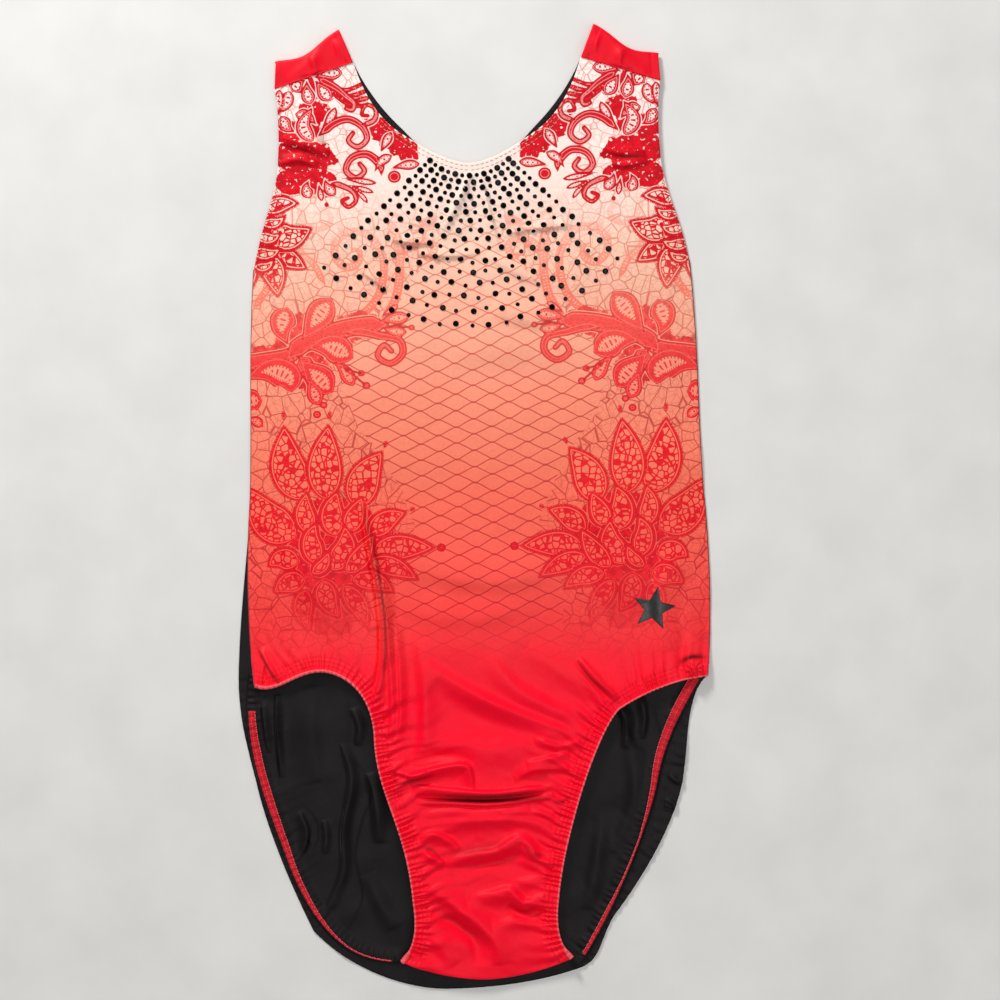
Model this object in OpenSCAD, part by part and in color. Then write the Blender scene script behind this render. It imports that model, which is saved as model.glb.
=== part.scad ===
// Sleeveless gymnastics leotard, lying flat on its back with the front panel up.
// X runs across the garment, Y from the crotch to the shoulders, Z up from the surface.
// "left" and "right" are as seen from above: left is -X, right is +X.
// The origin is the centre of the underside of the box around the whole garment.

/* [Fabric] */
// Thickness of one layer of the knitted fabric
fabric_t = 0.8; // [0.6:0.1:1.2]
// Clear height between the front and the back panel
body_gap = 6.4; // [6.2:0.1:8]
// Thickness of the gusset lining
lining_t = 0.6; // [0.4:0.1:0.8]

/* [Elastics] */
// Thickness of the elastic bands
elastic_t = 0.8; // [0.5:0.1:0.8]
// Width of the elastic in the neck and the armholes
neck_elastic_w = 6.5; // [5:0.5:7]
// Width of the elastic in the leg openings
leg_elastic_w = 9; // [8:0.5:9]

/* [Seams and stitching] */
// Width of the turned hem on the back of the leg openings
hem_w = 6; // [5:0.5:7]
// Width of the side seam and crotch seam allowances
seam_w = 5; // [4:0.5:6]
// Width of the ridge along each yoke seam
yoke_ridge_w = 2; // [1.5:0.1:2.5]
// Height of the ridge along each yoke seam
yoke_ridge_h = 0.4; // [0.3:0.1:0.6]
// Width of one row of stitches
stitch_w = 0.6; // [0.4:0.1:0.8]
// Height of one row of stitches
stitch_h = 0.2; // [0.2:0.05:0.3]

/* [Crystals] */
// Radius of a large crystal
large_r = 2; // [1.8:0.1:2.1]
// Height of a large crystal
large_h = 1.6; // [1.2:0.1:1.8]
// Radius of a small crystal
small_r = 1.4; // [1.2:0.1:1.5]
// Height of a small crystal
small_h = 1.2; // [0.9:0.1:1.4]
// Distance between crystals beside the neckline
near_pitch = 4.6; // [4.6:0.1:5.5]
// Growth of that distance for each millimetre away from the neckline
pitch_growth = 0.06; // [0.06:0.01:0.1]
// Greatest distance of a crystal from its place in an even fan
scatter = 1.6; // [0:0.1:1.6]
// Half angle of the fan of crystals, in degrees
fan_half_angle = 48; // [40:1:50]

/* [Emblem] */
// Outer radius of the star printed on the hip
star_r = 15; // [10:1:17]
// Thickness of the heat-transferred print
print_t = 0.3; // [0.2:0.1:0.4]

/* [Hidden] */

steps = 7;                               // straight pieces in each curved stretch
front_z = fabric_t + body_gap;           // underside of the front panel
top_z = front_z + fabric_t;              // upper face of the front panel
far = 400;                               // longer than the garment, for clipping
slack = 0.4;                             // space between neighbouring pieces of trim
lining_top = -200;                       // upper end of the gusset lining
post_d = 4;                              // posts that stand for the turn of an elastic
side_seam_low = -98;                     // the leg elastic begins below this
side_seam_high = 155;                    // the armhole elastic begins above this
crotch_seam_half = 34;                   // half the length of the crotch seam
emblem_at = [112, -68];                  // centre of the star on the right hip
emblem_turn = -12;                       // its slant, in degrees
star_notch = 0.42;                       // inner radius of the star, as a share of the outer
crystal_top = 0.6;                       // upper radius of a crystal, as a share of the lower
row_share = 0.93;                        // distance between rows of crystals, as a share of
                                         // the distance within one
around = 24;                             // facets around a crystal or a post
neck_post_at = [75.5, 284.5];
armhole_post_at = [136.5, 163];
left_leg_post_at = [-142.5, -108.5];
right_leg_post_at = [142.5, -111];
neck_rows = [1.4, 3.6];                  // distances of rows of stitches from their edge
armhole_rows = [1.4, 4.6];
leg_rows = [2.7, 5.5, 8.3];
hem_rows = [0.6, 2.3, 4];

// A point and a run of points on a cubic curve through a and d, pulled to b and c.
function curve_point(a, b, c, d, t) =
    pow(1 - t, 3) * a + 3 * t * pow(1 - t, 2) * b + 3 * t * t * (1 - t) * c + pow(t, 3) * d;
function curve(a, b, c, d) = [for (i = [0 : steps]) curve_point(a, b, c, d, i / steps)];
function joined(runs) = [for (k = [0 : len(runs) - 1]) each
    [for (i = [k == 0 ? 0 : 1 : len(runs[k]) - 1]) runs[k][i]]];
function reversed(path) = [for (i = [len(path) - 1 : -1 : 0]) path[i]];
function mirrored(path) = [for (p = path) [-p[0], p[1]]];

// A path moved sideways by d, to the left of its direction of travel.
function along(path, i) = path[min(i + 1, len(path) - 1)] - path[max(i - 1, 0)];
function moved(path, d) = [for (i = [0 : len(path) - 1])
    let (v = along(path, i)) path[i] + d * [-v[1], v[0]] / norm(v)];

// Shoulder yoke, right side: seam to the panel below, fold line above.
seam_in = [74, 291];
seam_out = [125, 275];
fold_in = [82, 311];
fold_out = [124, 291];
seam_way = (seam_out - seam_in) / norm(seam_out - seam_in);

// Front panel edges, right side, each running away from the neck.
neck_front = joined([
    curve([0, 223.5], [14, 224.5], [28, 233], [45, 244.5]),
    curve([45, 244.5], [58, 253.5], [68, 270], seam_in)
]);
armhole = joined([
    curve(seam_out, [122.5, 262], [122.5, 245], [123.5, 230]),
    curve([123.5, 230], [124.5, 205], [135, 190], [141, 158])
]);
side = joined([
    curve([141, 158], [146, 100], [144, 50], [147, 5]),
    curve([147, 5], [150, -30], [150.5, -80], [146.5, -112])
]);
leg_low = curve([47, -255], [45, -270], [46, -282], [55, -292]);
// The left leg opening lies rounder at its top than the right one.
leg_left = joined([
    curve([146.5, -112], [132, -119], [117, -99], [98, -104]),
    curve([98, -104], [80, -109], [70, -126], [69.8, -148]),
    curve([69.8, -148], [69, -185], [50, -205], [47, -255]),
    leg_low
]);
leg_right = joined([
    curve([146.5, -112], [128, -113], [106, -121], [89, -132]),
    curve([89, -132], [74, -147], [51, -215], [47, -255]),
    leg_low
]);
crotch = curve([55, -292], [40, -300], [15, -305], [0, -305]);

// Back panel edges. Its lower part lies further to the left than the front panel.
neck_back = joined([
    curve([0, 217.5], [20, 219], [33, 237], [46, 250]),
    curve([46, 250], [58, 262], [68, 277], seam_in)
]);
back_leg_right = joined([
    curve([146.5, -112], [133, -124], [134, -150], [130, -175]),
    curve([130, -175], [126, -205], [100, -245], [83, -266]),
    curve([83, -266], [74, -280], [74, -294], [62, -299])
]);
back_crotch = joined([
    curve([62, -299], [40, -307], [10, -311.5], [-24, -311.5]),
    curve([-24, -311.5], [-60, -311.5], [-95, -292], [-112, -272])
]);
back_leg_left = joined([
    curve([-112, -272], [-125, -245], [-141, -205], [-147, -175]),
    curve([-147, -175], [-153, -150], [-158, -130], [-157, -105])
]);
// The turned hems of the back curl in from its outline.
hem_right = joined([
    curve([144, -111], [136, -124], [118, -152], [113, -180]),
    curve([113, -180], [107, -207], [84, -262], [62, -294])
]);
hem_left = joined([
    curve([-59, -293], [-98, -292], [-116, -258], [-127, -229]),
    curve([-127, -229], [-140, -190], [-158, -150], [-149, -104])
]);
back_side_left = curve([-157, -105], [-156, -70], [-150, -30], [-147, 5]);
back_side_top = mirrored(reversed(curve([141, 158], [146, 100], [144, 50], [147, 5])));

front_outline = concat(
    neck_front, armhole, side, leg_right, crotch,
    mirrored(reversed(concat(neck_front, armhole, side, leg_left, crotch)))
);
back_outline = concat(
    neck_back, armhole, side, back_leg_right, back_crotch, back_leg_left, back_side_left,
    back_side_top, mirrored(reversed(concat(neck_back, armhole)))
);

// The garment is moved so that the box around it is centred on the origin.
all_points = concat(front_outline, back_outline, [fold_in]);
xs = [for (p = all_points) p[0]];
ys = [for (p = all_points) p[1]];
centring = -[min(xs) + max(xs), min(ys) + max(ys), 0] / 2;

// Crystals: rows of a fan around a point above the neckline, large and small in turn,
// each a little off its place, but never so far that two of them can touch.
fan_centre = [0, 252];
fan_start = 36.5;
fan_end = 137;
row_ratio = 1 + row_share * pitch_growth;
function row_radius(k) = fan_start + near_pitch * (pow(row_ratio, k) - 1) / pitch_growth;
function pitch(r) = near_pitch + pitch_growth * (r - fan_start);
row_count = len([for (k = [0 : 30]) if (row_radius(k) < fan_end) k]);
function row_size(k) = floor(2 * fan_half_angle * PI / 180 * row_radius(k) / pitch(row_radius(k)));
function row_angle(k, i) = fan_half_angle * (2 * (i + 0.5) / row_size(k) - 1);
function crystal_at(k, i) = fan_centre + row_radius(k) * [sin(row_angle(k, i)), -cos(row_angle(k, i))];
function reach(k) = min(scatter, (row_share * pitch(row_radius(k)) - 2 * large_r) / 2) / sqrt(2);
function row_shifts(k) = rands(-reach(k), reach(k), 2 * row_size(k), k + 1);
crystals = [for (k = [0 : row_count - 1]) let (shifts = row_shifts(k)) for (i = [0 : row_size(k) - 1])
    [crystal_at(k, i) + [shifts[2 * i], shifts[2 * i + 1]], (i + k) % 2]];

// Flat shapes
module front_shape() polygon(front_outline);
module back_shape() polygon(back_outline);
module ribbon(path, from, to) polygon(concat(moved(path, from), reversed(moved(path, to))));
module yoke_shape() polygon([seam_in, seam_out, fold_out, fold_in]);
module band_y(low, high) translate([-far, low]) square([2 * far, high - low]);
module star(r) polygon([for (i = [0 : 9]) (i % 2 == 0 ? 1 : star_notch) * r * [sin(36 * i), cos(36 * i)]]);
module both_sides() {
    children();
    mirror([1, 0, 0]) children();
}

// A flat shape made solid, and a solid put in its place on the right (1) or the left (-1).
module slab(z, h) translate([0, 0, z]) linear_extrude(h) children();
module placed(hand = 1) translate(centring) mirror([hand < 0 ? 1 : 0, 0, 0]) children();

// Panels
module front_panel() color("#fb5a52") placed() slab(front_z, fabric_t) front_shape();
module back_panel() color("#1a1716") placed() slab(0, fabric_t) back_shape();
module gusset_lining() color("#e8303c") placed() slab(front_z - lining_t, lining_t) difference() {
    intersection() {
        front_shape();
        band_y(-far, lining_top);
    }
    ribbon(leg_right, slack, -leg_elastic_w - slack);
    mirror([1, 0, 0]) ribbon(leg_left, slack, -leg_elastic_w - slack);
    both_sides() ribbon(crotch, slack, -seam_w - slack);
}

// A yoke is folded over the shoulder: a front leaf, a back leaf and the fold between them.
module yoke() color("#e8122a") {
    slab(0, fabric_t) yoke_shape();
    slab(front_z, fabric_t) yoke_shape();
    slab(0, top_z) ribbon([fold_in, fold_out], 0, -fabric_t);
}
module left_shoulder_yoke() placed(-1) yoke();
module right_shoulder_yoke() placed() yoke();

// Elastics: one band under the front edge, one on the back edge, joined by a post.
module upper_band() slab(front_z - elastic_t, elastic_t) children();
module lower_band() slab(fabric_t, elastic_t) children();
module post(at) slab(fabric_t, body_gap) translate(at) circle(d = post_d, $fn = around);
module neck_elastic() color("#e9e2da") placed() {
    upper_band() both_sides() ribbon(neck_front, 0, -neck_elastic_w);
    lower_band() both_sides() ribbon(neck_back, 0, -neck_elastic_w);
    both_sides() post(neck_post_at);
}
module armhole_elastic() color("#e9e2da") {
    upper_band() ribbon(armhole, 0, -neck_elastic_w);
    lower_band() ribbon(armhole, 0, -neck_elastic_w);
    post(armhole_post_at);
}
module left_armhole_elastic() placed(-1) armhole_elastic();
module right_armhole_elastic() placed() armhole_elastic();
module leg_elastic(front_edge, hem, post_at) color("#e9e2da") {
    upper_band() intersection() {
        front_shape();
        ribbon(front_edge, 0, -leg_elastic_w);
    }
    lower_band() intersection() {
        back_shape();
        ribbon(hem, 0, -hem_w);
    }
    post(post_at);
}
module left_leg_elastic() placed()
    leg_elastic(reversed(mirrored(leg_left)), hem_left, left_leg_post_at);
module right_leg_elastic() placed() leg_elastic(leg_right, hem_right, right_leg_post_at);

// Seam allowances close the garment between the two panels.
module seam_wall() slab(fabric_t, body_gap) children();
module side_seam() color("#c9142c") seam_wall() intersection() {
    ribbon(side, 0, -seam_w);
    band_y(side_seam_low, side_seam_high);
}
module left_side_seam() placed(-1) side_seam();
module right_side_seam() placed() side_seam();
module crotch_seam() color("#c9142c") placed() seam_wall() intersection() {
    both_sides() ribbon(crotch, 0, -seam_w);
    translate([-crotch_seam_half, -far]) square([2 * crotch_seam_half, far]);
}

// Yoke seams: ridges on the outside of the front and on the inside of the back.
module yoke_ridge_shape(length_cut = 0) ribbon(
    [seam_in + length_cut * seam_way, seam_out - length_cut * seam_way],
    yoke_ridge_w / 2, -yoke_ridge_w / 2);
module front_yoke_seam() color("#d31026") slab(top_z, yoke_ridge_h) yoke_ridge_shape();
module back_yoke_seam() color("#2a0f10") slab(fabric_t, yoke_ridge_h)
    yoke_ridge_shape(neck_elastic_w + 2 * slack);
module left_front_yoke_seam() placed(-1) front_yoke_seam();
module right_front_yoke_seam() placed() front_yoke_seam();
module left_back_yoke_seam() placed(-1) back_yoke_seam();
module right_back_yoke_seam() placed() back_yoke_seam();

// Rows of stitches, each a thin raised line at a distance from its edge.
module stitch_rows(path, rows) for (d = rows) ribbon(path, -d, -d - stitch_w);
module clear_of_yoke() difference() {
    children();
    yoke_ridge_shape(-2);
    mirror([1, 0, 0]) yoke_ridge_shape(-2);
}
module front_neck_topstitch() color("#dba58c") placed() slab(top_z, stitch_h)
    clear_of_yoke() both_sides() stitch_rows(neck_front, neck_rows);
module back_neck_topstitch() color("#3a2f2c") placed() slab(fabric_t + elastic_t, stitch_h)
    both_sides() stitch_rows([for (i = [0 : len(neck_back) - 3]) neck_back[i]], neck_rows);
module armhole_topstitch() color("#c01428") slab(top_z, stitch_h)
    clear_of_yoke() stitch_rows(armhole, armhole_rows);
module left_armhole_topstitch() placed(-1) armhole_topstitch();
module right_armhole_topstitch() placed() armhole_topstitch();
module leg_topstitch(edge) color("#ff6a72") slab(top_z, stitch_h) intersection() {
    front_shape();
    stitch_rows(edge, leg_rows);
}
module left_front_leg_topstitch() placed(-1) leg_topstitch(leg_left);
module right_front_leg_topstitch() placed() leg_topstitch(leg_right);
function short_of_ends(path) = [for (i = [1 : len(path) - 2]) path[i]];
module hem_band(hem) color("#b01c28") slab(fabric_t + elastic_t, stitch_h)
    stitch_rows(short_of_ends(hem), hem_rows);
module left_back_leg_topstitch() placed() hem_band(hem_left);
module right_back_leg_topstitch() placed() hem_band(hem_right);

// Decoration
module crystal(r, h) cylinder(h = h, r1 = r, r2 = crystal_top * r, $fn = around);
module crystals_of(kind, r, h) color("#0c0b0c") placed()
    for (c = crystals) if (c[1] == kind) translate([c[0][0], c[0][1], top_z]) crystal(r, h);
module large_crystals() crystals_of(0, large_r, large_h);
module small_crystals() crystals_of(1, small_r, small_h);
module hip_emblem() color("#14100f") placed() slab(top_z, print_t)
    translate(emblem_at) rotate(emblem_turn) star(star_r);

front_panel();
back_panel();
gusset_lining();
left_shoulder_yoke();
right_shoulder_yoke();
neck_elastic();
left_armhole_elastic();
right_armhole_elastic();
left_leg_elastic();
right_leg_elastic();
left_side_seam();
right_side_seam();
crotch_seam();
left_front_yoke_seam();
right_front_yoke_seam();
left_back_yoke_seam();
right_back_yoke_seam();
front_neck_topstitch();
back_neck_topstitch();
left_armhole_topstitch();
right_armhole_topstitch();
left_front_leg_topstitch();
right_front_leg_topstitch();
left_back_leg_topstitch();
right_back_leg_topstitch();
large_crystals();
small_crystals();
hip_emblem();
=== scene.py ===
"""A sleeveless gymnastics leotard lying flat on its back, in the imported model's frame.

Fabric is worked out in "cut" coordinates: millimetres on the garment's own plane, with u to the
right from the middle line and v towards the shoulders. place() turns them into the frame's metres.
"""

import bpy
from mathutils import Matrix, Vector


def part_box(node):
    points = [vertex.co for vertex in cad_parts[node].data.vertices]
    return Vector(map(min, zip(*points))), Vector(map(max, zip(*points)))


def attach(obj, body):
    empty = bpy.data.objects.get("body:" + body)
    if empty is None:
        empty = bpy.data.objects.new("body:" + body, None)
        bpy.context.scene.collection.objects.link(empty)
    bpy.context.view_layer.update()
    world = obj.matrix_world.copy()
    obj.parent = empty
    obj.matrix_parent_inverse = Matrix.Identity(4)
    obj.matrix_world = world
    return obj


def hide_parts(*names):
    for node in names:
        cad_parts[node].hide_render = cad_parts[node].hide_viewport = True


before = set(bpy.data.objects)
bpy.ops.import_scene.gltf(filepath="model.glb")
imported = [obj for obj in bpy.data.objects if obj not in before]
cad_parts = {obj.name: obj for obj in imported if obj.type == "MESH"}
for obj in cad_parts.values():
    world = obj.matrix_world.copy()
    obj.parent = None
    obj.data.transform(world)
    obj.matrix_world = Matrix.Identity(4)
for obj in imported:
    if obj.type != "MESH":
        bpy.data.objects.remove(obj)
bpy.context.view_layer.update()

import math
import bpy
import numpy as np
from mathutils import Vector, geometry

# ---------------------------------------------------------------- the garment's plane in the frame
FRONT_LOW, FRONT_HIGH = (np.array(c) * 1000 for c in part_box("front_panel"))
YOKE_HIGH = np.array(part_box("left_shoulder_yoke")[1]) * 1000
FOLD_V = 311.0
MIDDLE = (FRONT_LOW[0] + FRONT_HIGH[0]) / 2
RISE = YOKE_HIGH[1] - FOLD_V


def place(points):
    """Garment millimetres to frame metres."""
    return (np.asarray(points, float) + [MIDDLE, RISE, 0]) / 1000


# ---------------------------------------------------------------- curves
def curve(a, b, c, d, steps=40):
    t = np.linspace(0, 1, steps)[:, None]
    a, b, c, d = (np.array(p, float) for p in (a, b, c, d))
    return (1 - t) ** 3 * a + 3 * t * (1 - t) ** 2 * b + 3 * t * t * (1 - t) * c + t ** 3 * d


def joined(*runs):
    return np.vstack([runs[0]] + [r[1:] for r in runs[1:]])


def mirrored(path):
    return (path * [-1, 1])[::-1]


def lengths(path):
    return np.concatenate([[0], np.cumsum(np.linalg.norm(np.diff(path, axis=0), axis=1))])


def evenly(path, spacing):
    """The same path with points about spacing apart."""
    s = lengths(path)
    n = max(2, int(round(s[-1] / spacing)) + 1)
    t = np.linspace(0, s[-1], n)
    return np.stack([np.interp(t, s, path[:, k]) for k in range(path.shape[1])], axis=1)


def smooth_path(points, per_span=8):
    """A Catmull-Rom curve through given points."""
    p = np.array(points, float)
    if len(p) == 2:
        return evenly(p, np.linalg.norm(p[1] - p[0]) / per_span)
    p = np.vstack([2 * p[0] - p[1], p, 2 * p[-1] - p[-2]])
    t = np.linspace(0, 1, per_span, endpoint=False)[:, None]
    out = []
    for a, b, c, d in zip(p, p[1:], p[2:], p[3:]):
        out.append(0.5 * (2 * b + (c - a) * t + (2 * a - 5 * b + 4 * c - d) * t ** 2
                          + (3 * b - a - 3 * c + d) * t ** 3))
    return np.vstack(out + [p[-2:-1]])


def nearest(points, path, reach=1e9):
    """Distance to a path, arc length of the nearest point and side, for points within reach."""
    n = len(points)
    dist = np.full(n, 1e6)
    arc = np.zeros(n)
    side = np.ones(n)
    low, high = path.min(axis=0) - reach, path.max(axis=0) + reach
    rows = np.nonzero(((points > low) & (points < high)).all(axis=1))[0]
    p = points[rows]
    s = lengths(path)
    best = np.full(len(rows), 1e12)
    for i in range(len(path) - 1):
        a, d = path[i], path[i + 1] - path[i]
        t = np.clip(((p - a) @ d) / max(d @ d, 1e-9), 0, 1)
        off = p - a - t[:, None] * d
        q = (off ** 2).sum(axis=1)
        closer = q < best
        best[closer] = q[closer]
        arc[rows[closer]] = s[i] + t[closer] * math.sqrt(d @ d)
        cross = d[0] * off[:, 1] - d[1] * off[:, 0]
        side[rows[closer]] = np.where(cross[closer] >= 0, 1, -1)
    dist[rows] = np.sqrt(best)
    return dist, arc, side


def near(distance, width, power=2):
    """1 at no distance, fading to 0 past width."""
    return np.exp(-(distance / width) ** power)


def ease(x, low, high):
    t = np.clip((x - low) / (high - low), 0, 1)
    return t * t * (3 - 2 * t)


# ---------------------------------------------------------------- the edges of the panels, right side
SEAM_IN, SEAM_OUT = np.array([74, 291.0]), np.array([125, 275.0])
FOLD_IN, FOLD_OUT = np.array([82, 311.0]), np.array([124, 291.0])
NECK_FRONT = joined(curve([0, 223.5], [14, 224.5], [28, 233], [45, 244.5]),
                    curve([45, 244.5], [58, 253.5], [68, 270], SEAM_IN))
NECK_BACK = joined(curve([0, 217.5], [20, 219], [33, 237], [46, 250]),
                   curve([46, 250], [58, 262], [68, 277], SEAM_IN))
ARMHOLE = joined(curve(SEAM_OUT, [122.5, 262], [122.5, 245], [123.5, 230]),
                 curve([123.5, 230], [124.5, 205], [135, 190], [141, 158]))
SIDE_TOP = curve([141, 158], [146, 100], [144, 50], [147, 5])
SIDE = joined(SIDE_TOP, curve([147, 5], [150, -30], [150.5, -80], [146.5, -112]))
LEG_LOW = curve([47, -255], [45, -270], [46, -282], [55, -292])
LEG_LEFT = joined(curve([146.5, -112], [132, -119], [117, -99], [98, -104]),
                  curve([98, -104], [80, -109], [70, -126], [69.8, -148]),
                  curve([69.8, -148], [69, -185], [50, -205], [47, -255]), LEG_LOW)
LEG_RIGHT = joined(curve([146.5, -112], [128, -113], [106, -121], [89, -132]),
                   curve([89, -132], [74, -147], [51, -215], [47, -255]), LEG_LOW)
CROTCH = curve([55, -292], [40, -300], [15, -305], [0, -305])
BACK_LEG_RIGHT = joined(curve([146.5, -112], [133, -124], [134, -150], [130, -175]),
                        curve([130, -175], [126, -205], [100, -245], [83, -266]),
                        curve([83, -266], [74, -280], [74, -294], [62, -299]))
BACK_CROTCH = joined(curve([62, -299], [40, -307], [10, -311.5], [-24, -311.5]),
                     curve([-24, -311.5], [-60, -311.5], [-95, -292], [-112, -272]))
BACK_LEG_LEFT = joined(curve([-112, -272], [-125, -245], [-141, -205], [-147, -175]),
                       curve([-147, -175], [-153, -150], [-158, -130], [-157, -105]))
BACK_SIDE_LEFT = curve([-157, -105], [-156, -70], [-150, -30], [-147, 5])
SEAM = np.array([SEAM_IN, SEAM_OUT])


# ---------------------------------------------------------------- sheets of triangles
def inside(points, loop):
    """Even-odd test of points against a closed outline."""
    x, y = points.T
    hit = np.zeros(len(points), bool)
    for (x0, y0), (x1, y1) in zip(loop, np.roll(loop, -1, axis=0)):
        if y0 == y1:
            continue
        crosses = (y0 > y) != (y1 > y)
        hit ^= crosses & (x < (x1 - x0) * (y - y0) / (y1 - y0) + x0)
    return hit


def hex_points(low, high, spacing):
    rows = np.arange(low[1], high[1], spacing * math.sqrt(0.75))
    out = []
    for k, y in enumerate(rows):
        x = np.arange(low[0] + (k % 2) * spacing / 2, high[0], spacing)
        out.append(np.stack([x, np.full(len(x), y)], axis=1))
    return np.vstack(out)


def fill_outline(edges, spacing, fine=None, fine_edges=(), fine_zones=()):
    """Triangles filling closed edges, finer within each zone: a path and how far it reaches."""
    runs = [evenly(edge, fine if k in fine_edges else spacing)[:-1] for k, edge in enumerate(edges)]
    loop = np.vstack(runs)
    pts = hex_points(loop.min(axis=0), loop.max(axis=0), spacing)
    limit = np.full(len(pts), 0.55 * spacing)
    if fine:
        extra = hex_points(loop.min(axis=0), loop.max(axis=0), fine)
        close, wanted = np.zeros(len(pts), bool), np.zeros(len(extra), bool)
        for path, reach in fine_zones:
            close |= nearest(pts, path, reach + 1)[0] < reach
            wanted |= nearest(extra, path, reach + 1)[0] < reach
        pts = np.vstack([pts[~close], extra[wanted]])
        limit = np.concatenate([limit[~close], np.full(wanted.sum(), 0.55 * fine)])
    keep = inside(pts, loop)
    pts, limit = pts[keep], limit[keep]
    pts = pts[nearest(pts, np.vstack([loop, loop[:1]]))[0] > limit]
    n = len(loop)
    result = geometry.delaunay_2d_cdt([Vector(p) for p in np.vstack([loop, pts])], [],
                                      [list(range(n))], 1, 1e-4)
    return np.array([tuple(v) for v in result[0]]), np.array([f for f in result[2] if len(f) == 3])


def halved(points, faces):
    """Each triangle split into four."""
    edges = np.sort(np.concatenate([faces[:, [0, 1]], faces[:, [1, 2]], faces[:, [2, 0]]]), axis=1)
    unique, back = np.unique(edges, axis=0, return_inverse=True)
    back = back.ravel()
    mid = len(points) + back
    n = len(faces)
    ab, bc, ca = mid[:n], mid[n:2 * n], mid[2 * n:]
    a, b, c = faces.T
    new = np.concatenate([np.stack(t, axis=1) for t in ((a, ab, ca), (ab, b, bc), (ca, bc, c), (ab, bc, ca))])
    return np.vstack([points, (points[unique[:, 0]] + points[unique[:, 1]]) / 2]), new


def upward(points, faces):
    """Faces turned so that they face up."""
    a, b, c = (points[faces[:, k]][:, :2] for k in range(3))
    turn = (b - a)[:, 0] * (c - a)[:, 1] - (b - a)[:, 1] * (c - a)[:, 0]
    faces = faces.copy()
    faces[turn < 0] = faces[turn < 0][:, ::-1]
    return faces


def rim_loops(faces):
    """The boundary of a sheet as ordered loops of vertex numbers."""
    edges = np.concatenate([faces[:, [0, 1]], faces[:, [1, 2]], faces[:, [2, 0]]])
    key = np.sort(edges, axis=1)
    _, index, count = np.unique(key, axis=0, return_index=True, return_counts=True)
    step = {int(a): int(b) for a, b in edges[index[count == 1]]}
    loops = []
    while step:
        start, here = next(iter(step.items()))
        loop = [start]
        del step[start]
        while here != start:
            loop.append(here)
            here = step.pop(here)
        loops.append(np.array(loop))
    return loops


def new_mesh(name, points, faces, material, values=None, smooth=True):
    """A mesh object in the frame, from garment millimetres; values are per-vertex attributes."""
    mesh = bpy.data.meshes.new(name)
    mesh.from_pydata(place(points).tolist(), [], [list(map(int, f)) for f in faces])
    mesh.update()
    for key, data in (values or {}).items():
        data = np.asarray(data, float)
        kind = "FLOAT" if data.ndim == 1 else "FLOAT_VECTOR"
        field = "value" if data.ndim == 1 else "vector"
        mesh.attributes.new(key, kind, "POINT").data.foreach_set(field, data.ravel())
    mesh.polygons.foreach_set("use_smooth", [smooth] * len(mesh.polygons))
    mesh.materials.append(material)
    obj = bpy.data.objects.new(name, mesh)
    bpy.context.scene.collection.objects.link(obj)
    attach(obj, "root")
    return obj


# ---------------------------------------------------------------- folds of the lying fabric
def waves(x, seed, period, count=6):
    """Smooth noise along a line, about -1 to 1."""
    rng = np.random.default_rng(seed)
    out = np.zeros_like(np.asarray(x, float))
    for _ in range(count):
        out += np.sin(2 * np.pi * x / (period * rng.uniform(0.6, 1.7)) + rng.uniform(0, 6.3))
    return out / math.sqrt(count)


def ripples(p, seed, period, count=9):
    """Smooth noise over a plane, about -1 to 1."""
    rng = np.random.default_rng(seed)
    out = np.zeros(len(p))
    for _ in range(count):
        turn, size = rng.uniform(0, np.pi), period * rng.uniform(0.6, 1.7)
        way = np.array([math.cos(turn), math.sin(turn)])
        out += np.sin(2 * np.pi * (p @ way) / size + rng.uniform(0, 6.3))
    return out / math.sqrt(count)


FOLD_GAIN = 1.5    # how much higher the cloth's folds are than the heights listed below


def fold(p, points, width, height, skew=0.0):
    """A ridge along a path: skew from -1 to 1 makes one flank steep."""
    path = smooth_path(points)
    dist, arc, side = nearest(p, path, 3.5 * width)
    x = np.minimum(dist, 1e3) * side / width
    flank = np.where(x < 0, 1 - 0.75 * skew, 1 + 0.75 * skew)
    taper = np.sin(np.pi * np.clip(arc / lengths(path)[-1], 0, 1)) ** 0.6
    return FOLD_GAIN * height * near(x, flank) * np.where(dist < 1e3, taper, 0)


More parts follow.
